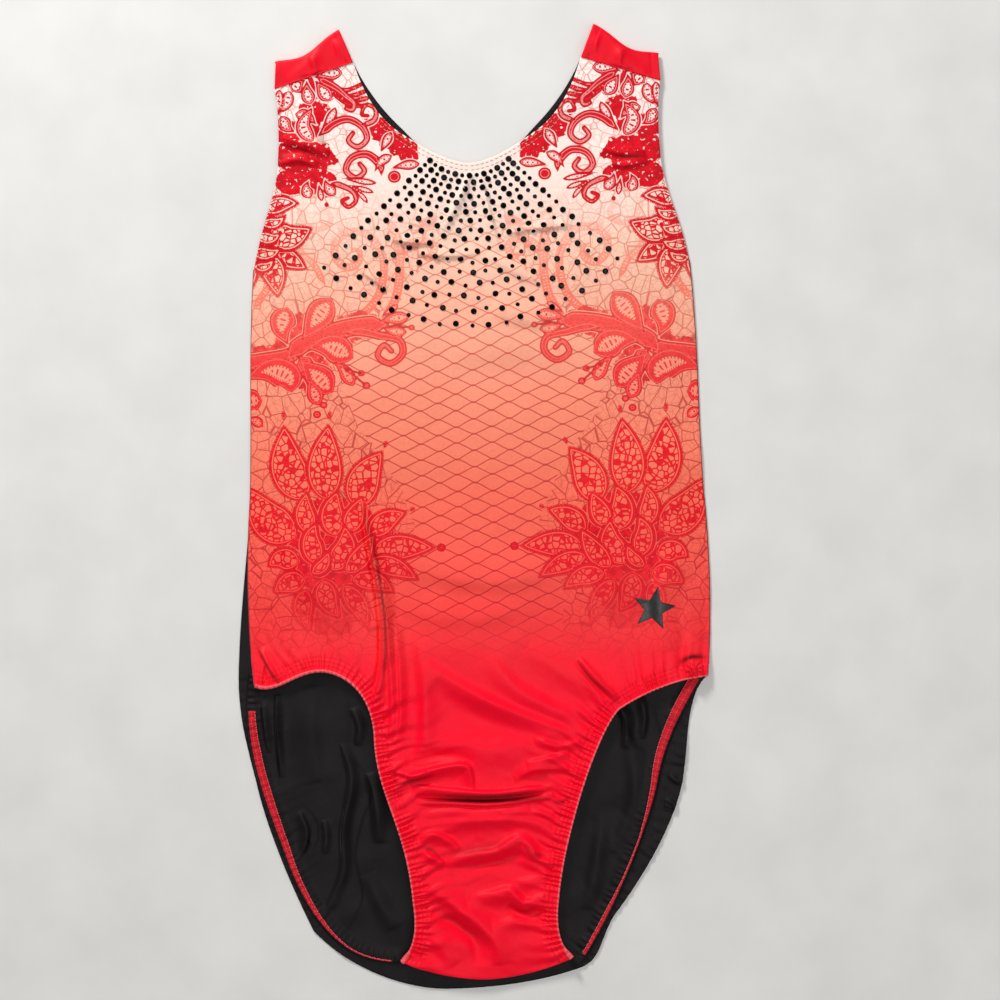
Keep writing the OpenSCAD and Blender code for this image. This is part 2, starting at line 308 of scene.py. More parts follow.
# Each fold: its path, half width, height (below zero for a valley) and how steep one flank is.
FRONT_FOLDS = [
    ([(-46, -179), (-20, -182), (6, -184), (30, -182), (46, -181)], 3.4, 3.2, -0.8),
    ([(-44, -186), (-20, -187.5), (8, -188.5), (44, -185)], 1.6, -3.6, 0.0),
    ([(-44, -190), (-20, -191), (8, -192), (46, -188)], 2.2, 1.8, 0.6),
    ([(-50, -173), (-30, -168), (-12, -166), (-8, -172), (-7, -182)], 3.0, 2.8, -0.6),
    ([(-50, -163), (-30, -160), (-12, -161), (-8, -166)], 3.4, -1.6, 0.4),
    ([(-60, -168), (-46, -172), (-36, -170)], 2.6, 2.0, 0.5),
    ([(28, -166), (42, -163), (56, -160)], 3.0, 2.2, -0.6),
    ([(20, -176), (34, -170), (56, -170)], 3.0, 2.0, 0.4),
    ([(34, -150), (50, -155), (64, -152)], 2.6, 1.6, -0.4),
    ([(-44, -198), (-22, -196), (0, -197), (30, -194)], 3.6, 1.8, -0.5),
    ([(-42, -206), (-20, -203), (14, -202), (44, -206)], 4.0, 2.0, -0.5),
    ([(10, -198), (26, -197), (46, -199)], 3.0, 1.6, -0.5),
    ([(-42, -213), (-34, -210), (-24, -214), (-16, -221)], 3.0, 2.0, -0.5),
    ([(-40, -222), (-32, -226), (-26, -229)], 2.4, 2.2, -0.5),
    ([(-26, -228), (-10, -225), (8, -222), (22, -214), (30, -219), (34, -229), (44, -233)], 5.0, 3.0, -0.5),
    ([(-22, -233), (-4, -231), (14, -227), (24, -222)], 4.0, -2.0, 0.0),
    ([(-38, -246), (-26, -252), (-14, -262), (-2, -272), (6, -282), (8, -296)], 6.0, 3.2, 0.5),
    ([(-36, -262), (-20, -270), (-8, -281), (-6, -296)], 5.0, -2.4, 0.3),
    ([(-12, -252), (4, -250), (16, -248), (24, -256), (32, -254), (42, -250)], 4.6, 3.0, -0.5),
    ([(14, -258), (24, -264), (34, -262), (40, -258)], 4.0, -2.0, 0.2),
    ([(4, -270), (20, -268), (30, -262)], 5.0, 1.6, -0.3),
    ([(14, -244), (28, -242), (42, -238)], 4.0, 1.6, -0.4),
    ([(-38, -272), (-30, -282), (-22, -296)], 6.0, 1.6, 0.3),
    ([(-36, -100), (-12, -116), (17, -131), (46, -143), (68, -150)], 6.5, 3.2, -0.6),
    ([(-30, -112), (-8, -130), (20, -142), (40, -150)], 9.0, -1.6, 0.0),
    ([(4, -96), (24, -118), (46, -130), (72, -136)], 6.0, 2.2, -0.4),
    ([(30, -92), (48, -104), (70, -118), (84, -130)], 8.0, 1.6, 0.2),
    ([(64, -98), (76, -112), (89, -125)], 2.8, 3.2, -0.8),
    ([(61, -100), (73, -115), (85, -127)], 1.4, -1.8, 0.0),
    ([(-38, -150), (8, -156), (52, -150)], 9.0, 1.8, -0.3),
    ([(-74, 6), (-70, -21), (-64, -60), (-63, -90), (-66, -112), (-71, -128)], 2.8, 3.4, 0.8),
    ([(-76, 2), (-72, -22), (-66, -60), (-65, -90), (-68, -112)], 1.3, -2.2, 0.0),
    ([(-62, -34), (-59, -84), (-58, -136), (-62, -148)], 3.0, 2.6, 0.6),
    ([(-54, -70), (-52, -110), (-53, -140), (-58, -152)], 2.6, 1.8, 0.5),
    ([(-40, -84), (-37, -118), (-38, -148), (-44, -166)], 5.0, 2.2, 0.5),
    ([(-143, -88), (-137, -98), (-130, -110)], 2.6, 2.4, 0.6),
    ([(1, 219), (-8, 200), (-20, 178)], 2.6, 1.4, 0.4),
    ([(6, 219), (11, 196), (18, 166)], 2.6, 1.4, -0.4),
    ([(3, 214), (2, 196), (-1, 172)], 5.0, -0.8, 0.0),
    ([(-52, 176), (-38, 173), (-24, 172)], 2.8, 2.0, 0.4),
    ([(-36, 166), (-14, 164), (4, 165)], 3.0, 1.6, 0.4),
    ([(24, 178), (46, 181), (66, 182)], 2.8, 1.7, 0.4),
    ([(-72, 156), (-64, 150), (-56, 143)], 2.6, 1.6, 0.4),
    ([(10, 164), (30, 152), (46, 146)], 4.0, 1.3, 0.3),
    ([(12, 130), (30, 123), (50, 119)], 8.0, 2.0, 0.4),
    ([(-20, 96), (20, 104), (56, 98)], 14.0, 1.2, 0.2),
    ([(-46, -37), (2, -46), (56, -42)], 12.0, 2.2, 0.4),
    ([(-60, -62), (-6, -70), (40, -62)], 10.0, 1.4, 0.3),
    ([(-121, 243), (-106, 238), (-90, 233)], 3.0, 3.2, -0.6),
    ([(-103, 258), (-98, 246), (-97, 236)], 2.6, 2.4, 0.6),
    ([(-124, 226), (-110, 228), (-98, 224)], 3.0, 1.8, 0.4),
    ([(84, 233), (98, 229), (114, 229)], 3.0, 2.8, -0.6),
    ([(88, 222), (100, 220), (116, 222)], 2.8, 1.6, 0.4),
    ([(-130, 60), (-60, 72), (40, 62)], 26.0, 1.0, 0.0),
    ([(60, 10), (84, -20), (100, -66)], 12.0, 1.6, 0.3),
    ([(128, -30), (118, -60), (122, -96)], 8.0, 1.6, 0.3),
    ([(-128, -10), (-112, -40), (-96, -84)], 10.0, 1.4, 0.3),
]
# Places where the cloth is pinched so tightly that little light gets in, where the colour is painted darker
# as shade: path, half width, strength of the painted shade.
CREASES = [
    ([(-42, -188.2), (-20, -189), (4, -189.6), (26, -189), (46, -187.4)], 1.3, 0.95),
    ([(-30, -186.6), (0, -187.2), (38, -186.2)], 2.6, 0.6),
    ([(-75, 6), (-67.5, -22), (-61.5, -67), (-62, -102), (-68, -125)], 1.2, 0.6),
    ([(62.5, -99), (71, -112), (85.5, -123)], 1.8, 0.4),
    ([(-145, -86), (-139, -98), (-132, -111)], 1.0, 0.5),
    ([(128, -104), (136, -99.5), (147, -100)], 1.6, 0.9),
    ([(-59, -175), (-53, -177), (-42, -174.5), (-30, -171.5)], 1.5, 0.6),
    ([(44, -190), (50, -191.5), (56, -189)], 1.2, 0.6),
    ([(-41, -218), (-34, -221), (-28, -226)], 1.3, 0.5),
    ([(-30, -223), (-14, -222), (4, -219), (18, -215)], 2.4, 0.35),
    ([(-34, -257), (-22, -266), (-10, -276), (2, -284)], 2.4, 0.3),
    ([(26, -218), (30, -224), (40, -226)], 1.5, 0.4),
    ([(14, -256), (24, -262), (34, -258)], 1.8, 0.35),
    ([(-124, 239.5), (-108, 234.5), (-96, 230)], 0.9, 0.6),
    ([(88, 229), (100, 225.5), (116, 225.5)], 0.9, 0.6),
]
# Tight creases of the back panel, where the colour is painted darker as shade: path, half width, strength of
# the painted shade.
BACK_CREASES = [
    ([(-131, -112), (-132.5, -135), (-133, -158), (-132, -178)], 0.9, 0.9),
    ([(-142, -118), (-143, -132), (-140, -146)], 1.2, 0.6),
    ([(-86, -158), (-76, -172), (-73, -185), (-80, -204), (-84, -225), (-80, -250), (-88, -268),
      (-98, -282)], 1.1, 0.9),
    ([(-116, -190), (-109, -200), (-108, -212), (-112, -222)], 0.9, 0.9),
    ([(-117, -212), (-113, -215), (-115, -219)], 0.9, 0.8),
    ([(-92, -198), (-92, -210), (-93, -217)], 0.9, 0.6),
    ([(-61, -165), (-58, -185), (-58, -208)], 2.0, 0.7),
    ([(-62, -125), (-66, -142), (-66, -160)], 2.2, 0.6),
    ([(-88, -112), (-86, -140), (-88, -156)], 2.0, 0.35),
    ([(92, -134), (96, -148), (101, -160)], 1.5, 0.8),
    ([(112, -128), (114, -142), (119, -156)], 1.1, 0.8),
    ([(124, -122), (125, -134), (124, -142)], 1.1, 0.7),
    ([(120, -197), (124, -199), (130, -200)], 0.7, 0.8),
    ([(119, -204), (124, -206), (128, -208)], 0.7, 0.8),
    ([(113, -222), (118, -226), (120, -234)], 0.8, 0.7),
]
BACK_FOLDS = [
    ([(-133, -118), (-133, -145), (-131, -172)], 2.2, 2.4, 0.6),
    ([(-142, -122), (-141, -138), (-139, -156)], 2.4, 1.8, 0.5),
    ([(-92, -150), (-86, -174), (-92, -206), (-93, -234), (-107, -264)], 3.0, 4.2, 0.7),
    ([(-120, -194), (-115, -206), (-117, -218), (-123, -226)], 2.6, 3.4, -0.6),
    ([(-104, -200), (-103, -210), (-104, -222)], 2.4, 2.2, 0.3),
    ([(-74, -170), (-70, -190), (-69, -216)], 4.5, 3.4, 0.5),
    ([(-110, -112), (-112, -140), (-108, -176)], 9.0, 2.0, -0.4),
    ([(-84, -128), (-80, -140), (-82, -152)], 3.0, 2.4, 0.5),
    ([(-76, -236), (-70, -252), (-60, -272)], 6.0, 2.0, 0.2),
    ([(86, -126), (93, -140), (92, -158)], 3.0, 3.4, 0.6),
    ([(104, -124), (106, -138), (104, -152)], 2.4, 2.4, -0.5),
    ([(96, -150), (98, -190), (84, -226)], 7.0, 2.6, 0.4),
    ([(120, -176), (126, -180), (131, -179)], 2.0, 2.4, 0.4),
    ([(118, -192), (123, -196), (127, -204)], 2.0, 2.2, 0.4),
    ([(78, -200), (72, -232), (66, -262)], 5.0, 2.2, 0.2),
]
# The turned hems of the back leg edges, which curl in from the outline.
HEM_LEFT = joined(curve((-149, -104), (-158, -150), (-140, -190), (-127, -229)),
                  curve((-127, -229), (-116, -258), (-98, -292), (-59, -293)))
HEM_RIGHT = joined(curve((144, -111), (136, -124), (118, -152), (113, -180)),
                   curve((113, -180), (107, -207), (84, -262), (62, -294)))
LEGS = {-1: mirrored(LEG_LEFT)[::-1], 1: LEG_RIGHT}
BACK_LEGS = {-1: BACK_LEG_LEFT[::-1], 1: BACK_LEG_RIGHT}
HEMS = {-1: HEM_LEFT, 1: HEM_RIGHT}
SIDES = (-1, "left"), (1, "right")
HEM_WIDTH = 5.0
HEM_WIDTHS = {-1: [4.6, 5.4, 5.4, 4.6, 3.8, 3.0, 1.0, 0.9], 1: [6.6, 6.4, 5.2, 3.4, 1.2, 1.4, 2.8, 2.6]}
# Gathers along each kind of edge: pitch, how far they reach in, height and random seed.
LEG_GATHERS = 3.2, 10.5, 0.9, 20
ARMHOLE_GATHERS = 4.4, 5.0, 0.14, 40
NECK_GATHERS = 5.2, 4.0, 0.08, 60
SIDE_GATHERS = 7.0, 5.0, 0.10, 80
BACK_LEG_GATHERS = 6.5, 7.0, 0.315, 100
PUCKER_REACH = 60.0
LADDER_ROWS = (3.0, 5.8, 8.6)


def add_folds(p, folds):
    return sum(fold(p, *f) for f in folds)


def gathers(p, edge, kind, turn):
    """Fine gathers square to an elastic edge, with longer puckers running out of them."""
    pitch, depth, height, seed = kind
    seed += 5 * turn
    dist, arc, _ = nearest(p, edge, PUCKER_REACH)
    wobble = arc + 0.9 * waves(arc, seed, 23) + 0.05 * dist
    fine = np.sin(2 * np.pi * wobble / pitch) * near(dist, depth, 4)
    size = 0.75 + 0.35 * waves(arc, seed + 1, 31)
    way = arc + 0.14 * dist + 0.8 * waves(dist, seed + 4, 25)
    long = waves(way, seed + 2, 9) * near(dist, 16, 1) + 0.8 * waves(way, seed + 3, 17) * near(dist, 26, 1)
    long *= ease(dist, 1, 10)
    return np.where(dist < PUCKER_REACH, height * size * fine + 1.6 * height * long, 0)


def edge_gap(p, edge, reach=60):
    return nearest(p, edge, reach)[0]


def both_gaps(p, edge):
    """Distance to an edge or to its mirror image."""
    return np.minimum(edge_gap(p, edge), edge_gap(p, edge * [-1, 1]))


def leg_gap(p, edges, reach=60):
    return np.minimum(edge_gap(p, edges[-1], reach), edge_gap(p, edges[1], reach))


KNOT_AT = np.array([138.5, -107.5])    # where the hem of the right leg ends at the hip
KNOT_RADIUS = 6.2


def knot(p):
    """The gathered bunch of cloth at the end of the right leg's hem."""
    away = p - KNOT_AT
    r = np.linalg.norm(away, axis=1)
    petals = np.cos(9 * np.arctan2(away[:, 1], away[:, 0]) + 0.5 * r)
    return near(r, KNOT_RADIUS, 4) * (3.2 + 0.9 * petals * np.minimum(r / 4, 1))


# Heights of the lying front panel: over the middle of the garment, and what each edge adds.
FRONT_LIE = 4.6
SIDE_FALL, ARMHOLE_FALL, LEG_RISE, NECK_RISE, CROTCH_RISE = 2.6, 0.8, 2.4, 0.5, 0.8
RIPPLES = (0.7, 3, 95), (0.22, 4, 34), (0.06, 5, 11)    # height, seed and period
ROW_GROOVE = 0.35
FRONT_LOWEST, BACK_LOWEST = 1.7, 0.9


def front_height(p):
    """Height of the front panel's upper face above the surface that the garment lies on."""
    z = FRONT_LIE - SIDE_FALL * near(both_gaps(p, SIDE), 16, 1.5)
    z += LEG_RISE * near(leg_gap(p, LEGS), 16) + NECK_RISE * near(both_gaps(p, NECK_FRONT), 10)
    z -= ARMHOLE_FALL * near(both_gaps(p, ARMHOLE), 12)
    z += sum(high * ripples(p, seed, period) for high, seed, period in RIPPLES)
    z += CROTCH_RISE * ease(-p[:, 1], 150, 230) + add_folds(p, FRONT_FOLDS)
    for k, hand in enumerate((-1, 1)):
        z += gathers(p, LEGS[hand], LEG_GATHERS, k)
        for row in LADDER_ROWS:
            z -= ROW_GROOVE * near(edge_gap(p, LEGS[hand], 14) - row, 0.8)
        z += gathers(p, ARMHOLE * [hand, 1], ARMHOLE_GATHERS, k)
        z += gathers(p, NECK_FRONT * [hand, 1], NECK_GATHERS, k)
        z += gathers(p, SIDE * [hand, 1], SIDE_GATHERS, k)
    return np.maximum(z + knot(p), FRONT_LOWEST)


BACK_LIE = 1.0
HEM_RISE, HEM_RIB, HEM_PITCH = 2.0, 0.35, 4.2    # the turned hem: its height, its ribs and their pitch


def back_height(p):
    """Height of the back panel's upper, inner face."""
    open_air = near(leg_gap(p, LEGS, 90), 70, 4) * ease(-p[:, 1], 96, 112)
    z = BACK_LIE + 0.15 * ripples(p, 13, 60)
    z += open_air * (add_folds(p, BACK_FOLDS) + 0.5 * ripples(p, 14, 36))
    for k, hand in enumerate((-1, 1)):
        dist, arc, side = nearest(p, HEMS[hand], 60)
        outward = dist * side * hand
        lip = ease(outward, -HEM_WIDTH - 5, -HEM_WIDTH / 2) * (1 - ease(outward, 0.3, 1.6))
        fine = np.sin(2 * np.pi * (arc + 0.7 * waves(arc, 90 + k, 19)) / HEM_PITCH)
        z += np.where(dist < 60, HEM_RISE * lip + HEM_RIB * fine * lip, 0)
        z += gathers(p, BACK_LEGS[hand], BACK_LEG_GATHERS, k)
        z += 0.8 * near(edge_gap(p, BACK_LEGS[hand]), 9)
    return np.maximum(z, BACK_LOWEST)


def on_surface(height, p, lift=0.0):
    """Points of the garment's plane put on a panel, and the panel's normals there."""
    p = np.asarray(p, float).reshape(-1, 2)
    e = 0.6
    z = height(p)
    slope_u = (height(p + [e, 0]) - height(p - [e, 0])) / (2 * e)
    slope_v = (height(p + [0, e]) - height(p - [0, e])) / (2 * e)
    normal = np.stack([-slope_u, -slope_v, np.ones(len(p))], axis=1)
    normal /= np.linalg.norm(normal, axis=1)[:, None]
    return np.column_stack([p, z]) + lift * normal, normal


# The turned rim: steps outwards and down, as shares of the roll's thickness.
RIM_STEPS = (0.30, 0.25), (0.32, 0.75), (0.0, 1.0)


def rolled_edge(points, faces, depth, thick):
    """The sheet with its rim turned under, as rings of new points along each boundary loop."""
    points, faces = [points], [faces]
    count = len(points[0])
    up = np.array([0, 0, 1.0])
    for loop in rim_loops(faces[0]):
        ring = points[0][loop]
        way = np.roll(ring, -3, axis=0) - np.roll(ring, 3, axis=0)
        out = np.stack([way[:, 1], -way[:, 0], np.zeros(len(ring))], axis=1)
        out /= np.linalg.norm(out, axis=1)[:, None] + 1e-9
        rows = [ring + outwards * thick * out - down * thick * up for outwards, down in RIM_STEPS]
        rows += [ring - share * depth * out - 1.1 * thick * up for share in (0.5, 1.0)]
        last = loop
        for row in rows:
            row[:, 2] = np.maximum(row[:, 2], 0.15)
            index = np.arange(count, count + len(loop))
            count += len(loop)
            points.append(row)
            a, b, c, d = last, np.roll(last, -1), np.roll(index, -1), index
            faces += [np.stack([a, c, b], axis=1), np.stack([a, d, c], axis=1)]
            last = index
    return np.vstack(points), np.vstack(faces)


# ---------------------------------------------------------------- thread, ribbons and small solids
STITCH_SINK = 0.28     # how far a stitch's ends go into the cloth
MAT_RIB = 0.12         # relief of the dense cover stitches


def tube(path, radius, sides=5):
    """A round thread along 3-D points."""
    way = np.gradient(path, axis=0)
    way /= np.linalg.norm(way, axis=1)[:, None] + 1e-12
    across = np.cross(way, [0, 0, 1.0])
    across /= np.linalg.norm(across, axis=1)[:, None] + 1e-12
    up = np.cross(across, way)
    turn = np.arange(sides) * 2 * np.pi / sides
    radius = np.broadcast_to(radius, len(path))
    ring = (np.cos(turn)[None, :, None] * across[:, None] + np.sin(turn)[None, :, None] * up[:, None])
    pts = path[:, None] + radius[:, None, None] * ring
    n = len(path)
    k = np.arange(sides)
    faces = []
    for i in range(n - 1):
        a, b = i * sides + k, i * sides + (k + 1) % sides
        faces.extend(np.stack([a, b, b + sides, a + sides], axis=1).tolist())
    faces.append(list(range(sides))[::-1])
    faces.append([(n - 1) * sides + i for i in range(sides)])
    return pts.reshape(-1, 3), faces


def merged(parts):
    points, faces, count = [], [], 0
    for pts, fs in parts:
        points.append(pts)
        faces.extend([[i + count for i in f] for f in fs])
        count += len(pts)
    return np.vstack(points), faces


def lattice(rows, columns):
    """Quads joining rows of points."""
    return [[r * columns + i, r * columns + i + 1, (r + 1) * columns + i + 1, (r + 1) * columns + i]
            for r in range(rows - 1) for i in range(columns - 1)]


def offset_path(path, distance):
    """A path moved sideways, to the left of its travel."""
    way = np.gradient(path, axis=0)
    way /= np.linalg.norm(way, axis=1)[:, None] + 1e-12
    return path + distance * np.stack([-way[:, 1], way[:, 0]], axis=1)


def running_stitches(edge, inset, length, gap, radius, height, lift=0.1):
    """Separate stitches along an edge, each sinking into the cloth at both ends."""
    path = evenly(offset_path(edge, inset), 0.5)
    s = lengths(path)
    starts = np.arange(0.5, s[-1] - length, length + gap)
    t = (starts[:, None] + np.linspace(0, length, 5)).ravel()
    flat = np.stack([np.interp(t, s, path[:, 0]), np.interp(t, s, path[:, 1])], axis=1)
    pts, _ = on_surface(height, flat, lift)
    pts = pts.reshape(-1, 5, 3)
    pts[:, [0, 4], 2] -= STITCH_SINK
    return merged([tube(p, radius * np.array([0.7, 1, 1.05, 1, 0.7])) for p in pts])


def zigzag_thread(edge, inset, width, pitch, radius, height, lift=0.12):
    """One thread running from side to side along an edge."""
    path = evenly(edge, pitch / 2)
    way = offset_path(path, inset) - path
    way /= np.linalg.norm(way, axis=1)[:, None]
    side = np.where(np.arange(len(path)) % 2 == 0, -0.5, 0.5) * width
    corners = path + way * (abs(inset) + side)[:, None]
    pts, _ = on_surface(height, evenly_between(corners, 3), lift)
    return tube(pts, radius, sides=4)


def band_way(path, widths):
    """The step across a band whose width changes along a path, at each of the path's points."""
    share = lengths(path) / lengths(path)[-1]
    wide = np.interp(share, np.linspace(0, 1, len(widths)), widths)
    return (offset_path(path, 1.0) - path) * wide[:, None]


def hem_mat(edge, widths, height, lift):
    """A dense band of cover stitches whose width changes along an edge."""
    path = evenly(edge, 0.8)
    way = band_way(path, widths)
    rows = []
    for t, rise in ((0.0, -0.5), (0.12, 0.0), (0.4, 0.15), (0.7, 0.15), (0.9, 0.0), (1.0, -0.5)):
        row, _ = on_surface(height, path + way * t, lift + rise)
        row[:, 2] += MAT_RIB * np.where(np.arange(len(path)) % 2 == 0, 1, -1)
        rows.append(row)
    return np.vstack(rows), lattice(len(rows), len(path))


def evenly_between(corners, steps):
    t = np.arange(0, len(corners) - 1, 1 / steps)
    k = np.arange(len(corners))
    return np.stack([np.interp(t, k, corners[:, 0]), np.interp(t, k, corners[:, 1])], axis=1)


def strip(path, insets, height, drops):
    """A ribbon along a path: one row of points for each inset, each dropped below the panel."""
    path = evenly(path, 0.9)
    rows = []
    for inset, drop in zip(insets, drops):
        row, _ = on_surface(height, offset_path(path, inset))
        row[:, 2] = np.maximum(row[:, 2] - drop, 0.2)
        rows.append(row)
    return np.vstack(rows), lattice(len(rows), len(path))


# ---------------------------------------------------------------- the lace print, right half
# Each stroke is (kind, points, half width): its middle line runs through the points.
DROP, PETAL, BAND, CURL, BALL = "drop", "petal", "band", "curl", "ball"

PALE_SCROLLS = [
    (BAND, [(91, 119), (72, 127), (61, 139), (57, 154), (58, 166), (66, 178), (77, 181), (87, 175),
            (88, 165), (81, 158), (73, 161), (72, 168), (77, 170)], 2.7),
    (BAND, [(60, 122), (51, 134), (47, 150), (47, 166), (49, 180), (55, 190)], 2.9),
    (BAND, [(47, 158), (42, 170), (32, 174), (24, 170), (27, 163), (33, 165)], 2.6),
    (CURL, [(87, 205), (97, 208), (107, 203), (110, 193), (104, 184), (94, 184), (90, 191), (95, 196)], 2.7),
    (BAND, [(112, 180), (110, 168), (102, 160), (96, 148)], 2.2),
    (CURL, [(70, 206), (60, 201), (54, 194), (46, 190)], 2.4),
    (BAND, [(124, 150), (132, 146), (141, 134)], 2.4),
]
SHOULDER = [
    (BAND, [(96, 280), (80, 273), (65, 278)], 1.5),
    (BAND, [(94, 277), (79, 269), (63, 273)], 1.6),
    (BAND, [(92, 275), (77, 266), (62, 268)], 1.6),
    (BAND, [(88, 271), (76, 263), (62, 263)], 1.4),
    (CURL, [(97, 281), (86, 275), (79, 269), (74, 264.5), (75, 260), (79, 261)], 3.0),
    (DROP, [(100, 281), (91, 284), (81, 284)], 4.8),
    (DROP, [(99, 280), (94, 273), (89, 266)], 5.0),
    (DROP, [(104, 280), (104, 272), (102, 264)], 4.6),
    (DROP, [(105, 280), (110, 277), (114, 273)], 5.2),
    (PETAL, [(116, 273), (117, 266), (121, 259)], 3.6),
    (PETAL, [(122, 274), (122.5, 266), (123, 257)], 2.8),
    (DROP, [(98, 250), (104, 256), (112, 258)], 4.4),
    (DROP, [(96, 246), (88, 257), (86, 262)], 3.0),
    (DROP, [(112, 246), (118, 250), (121, 257)], 4.6),
    (PETAL, [(101, 240), (107, 250), (101, 262)], 4.4),
    (CURL, [(97, 243), (88, 251), (78, 254), (69, 249), (66, 241), (72, 236), (78, 240), (75, 245)], 3.1),
    (CURL, [(57, 217), (58, 224), (66, 231), (76, 229), (80, 221), (74, 216), (68, 220), (71, 225)], 3.1),
    (CURL, [(69, 250), (61, 253), (60, 260), (66, 263), (69, 257), (65, 256)], 2.2),
    (DROP, [(58, 231), (54, 238), (50, 245)], 3.2),
    (DROP, [(62, 219), (57, 226), (50, 230)], 3.4),
    (DROP, [(52, 221), (44, 223), (32, 224)], 3.4),
    (BALL, [(49, 216), (48.5, 216)], 4.0),
    (DROP, [(104, 215), (106, 210), (104, 203)], 4.0),
    (DROP, [(94, 216), (92, 210), (87, 205)], 3.8),
    (DROP, [(98, 213), (97, 207), (96, 201)], 2.2),
    (CURL, [(90, 213), (83, 211), (76, 207), (74, 201), (79, 197), (83, 201), (79, 203)], 2.3),
    (DROP, [(80, 212), (71, 209), (62, 206)], 1.9),
    (DROP, [(78, 210), (71, 205), (66, 199)], 1.7),
    (DROP, [(84, 216), (72, 214), (60, 212)], 2.2),
    (BALL, [(93, 199), (93, 198.5)], 1.4),
]
ARM_LOTUS = [
    (PETAL, [(134, 196), (122, 200), (110, 200)], 6.0),
    (PETAL, [(128, 170), (116, 163), (106, 157)], 6.5),
    (PETAL, [(134, 168), (128, 154), (126, 139)], 8.0),
    (PETAL, [(143, 166), (146, 152), (147, 138)], 6.5),
    (PETAL, [(132, 184), (118, 178), (102, 184)], 8.5),
    (PETAL, [(136, 188), (126, 188), (119, 193)], 4.4),
    (PETAL, [(140, 180), (129, 178), (122, 182)], 4.6),
    (PETAL, [(143, 170), (131, 168), (122, 172)], 4.8),
    (PETAL, [(142, 160), (133, 160), (127, 166)], 4.0),
]
SPRIG = [
    (BAND, [(151, 97), (136, 99), (122, 101), (112, 105)], 5.0),
    (BAND, [(120, 100), (112, 108), (98, 114), (84, 118), (70, 120), (56, 120)], 6.0),
    (BAND, [(112, 100), (104, 86), (101, 78)], 5.5),
    (DROP, [(120, 108), (124, 120), (120, 133)], 8.6),
    (DROP, [(112, 110), (102, 124), (91, 138)], 9.4),
    (DROP, [(110, 106), (94, 107), (78, 99)], 9.6),
    (DROP, [(114, 100), (102, 88), (92, 77)], 9.6),
    (DROP, [(151, 86), (134, 92), (121, 88), (118, 78)], 10.1),
    (DROP, [(108, 88), (104, 78), (101, 69)], 5.5),
    (DROP, [(92, 98), (84, 91), (78, 81)], 4.8),
    (CURL, [(84, 116), (72, 116), (60, 113), (48, 110), (46, 101),
            (54, 95), (62, 100), (58, 107), (53, 103)], 3.3),
    (DROP, [(62, 122), (52, 124), (41, 125)], 4.3),
    (DROP, [(60, 119), (52, 116), (43, 115)], 3.6),
    (DROP, [(60, 125), (54, 129), (48, 133)], 2.3),
    (BALL, [(40, 118), (39.5, 118)], 1.9),
    (BAND, [(56, 119), (48, 119), (41, 118)], 0.7),
    (BALL, [(73, 89), (72.5, 89)], 2.0),
    (BAND, [(86, 94), (80, 91), (73, 89)], 0.7),
    (BALL, [(70, 81), (69.5, 81)], 2.3),
    (BAND, [(84, 92), (77, 87), (70, 81)], 0.7),
    (BALL, [(98, 69), (97.5, 69)], 2.2),
    (DROP, [(150, 63), (146, 72), (138, 73)], 7.8),
    (DROP, [(150, 60), (143, 60), (138, 56)], 3.6),
    (BALL, [(102.5, 63), (102, 63)], 2.4),
]
LOTUS = [
    (PETAL, [(112, 8), (122, 30), (124, 57)], 11.5),
    (PETAL, [(98, 8), (98, 32), (95, 57)], 11.0),
    (PETAL, [(78, 2), (72, 22), (60, 39)], 10.5),
    (PETAL, [(118, -16), (136, -4), (148, 17)], 12.0),
    (PETAL, [(108, -14), (112, 0), (110, 14)], 7.0),
    (PETAL, [(92, -16), (94, 0), (90, 14)], 8.0),
    (PETAL, [(84, -14), (78, 0), (74, 10)], 7.0),
    (PETAL, [(70, -16), (58, -6), (45, -1)], 7.5),
    (PETAL, [(68, -26), (48, -24), (27, -25)], 8.5),
    (PETAL, [(70, -32), (52, -38), (38, -46)], 7.0),
    (PETAL, [(116, -32), (128, -30), (137, -35)], 7.5),
    (PETAL, [(104, -34), (108, -18), (104, -6)], 7.0),
    (PETAL, [(96, -38), (86, -24), (86, -8)], 8.0),
    (PETAL, [(86, -40), (76, -30), (66, -14)], 7.0),
    (PETAL, [(112, -44), (124, -46), (134, -52)], 7.5),
    (PETAL, [(82, -44), (66, -46), (54, -54)], 7.0),
    (PETAL, [(100, -44), (98, -58), (90, -70)], 7.5),
    (PETAL, [(112, -50), (114, -64), (110, -78)], 7.0),
    (PETAL, [(88, -48), (78, -62), (72, -78)], 7.0),
    (PETAL, [(108, -40), (100, -34), (96, -24)], 5.0),
    (DROP, [(124, 58), (124, 61), (124, 66)], 1.5),
    (DROP, [(95, 58), (94.5, 61), (93.5, 65)], 1.5),
    (DROP, [(60, 39), (59, 41), (57.5, 45)], 1.6),
    (DROP, [(45, -1), (43, 0), (40, 1)], 1.5),
    (BALL, [(24, -25), (23.5, -25)], 2.6),
]
SHOULDER_FILL = [
    (BAND, [(126, 214), (104, 214), (86, 212)], 9.0),
    (BAND, [(126, 230), (106, 231), (88, 228)], 9.5),
    (BAND, [(126, 246), (108, 247), (96, 250)], 7.5),
    (BAND, [(66, 254), (50, 240), (34, 228)], 7.0),
    (BAND, [(108, 274), (98, 275), (90, 268)], 7.0),
    (BAND, [(108, 262), (98, 260), (92, 254)], 6.0),
    (BAND, [(88, 273), (76, 268), (66, 268)], 4.5),
]
SPRIG_FILL = [
    (BAND, [(152, 96), (134, 99), (120, 102), (106, 108), (92, 114), (74, 120), (58, 122)], 9.0),
    (BAND, [(118, 108), (108, 94), (98, 82)], 12.0),
    (BAND, [(122, 100), (112, 114), (102, 124)], 12.0),
]
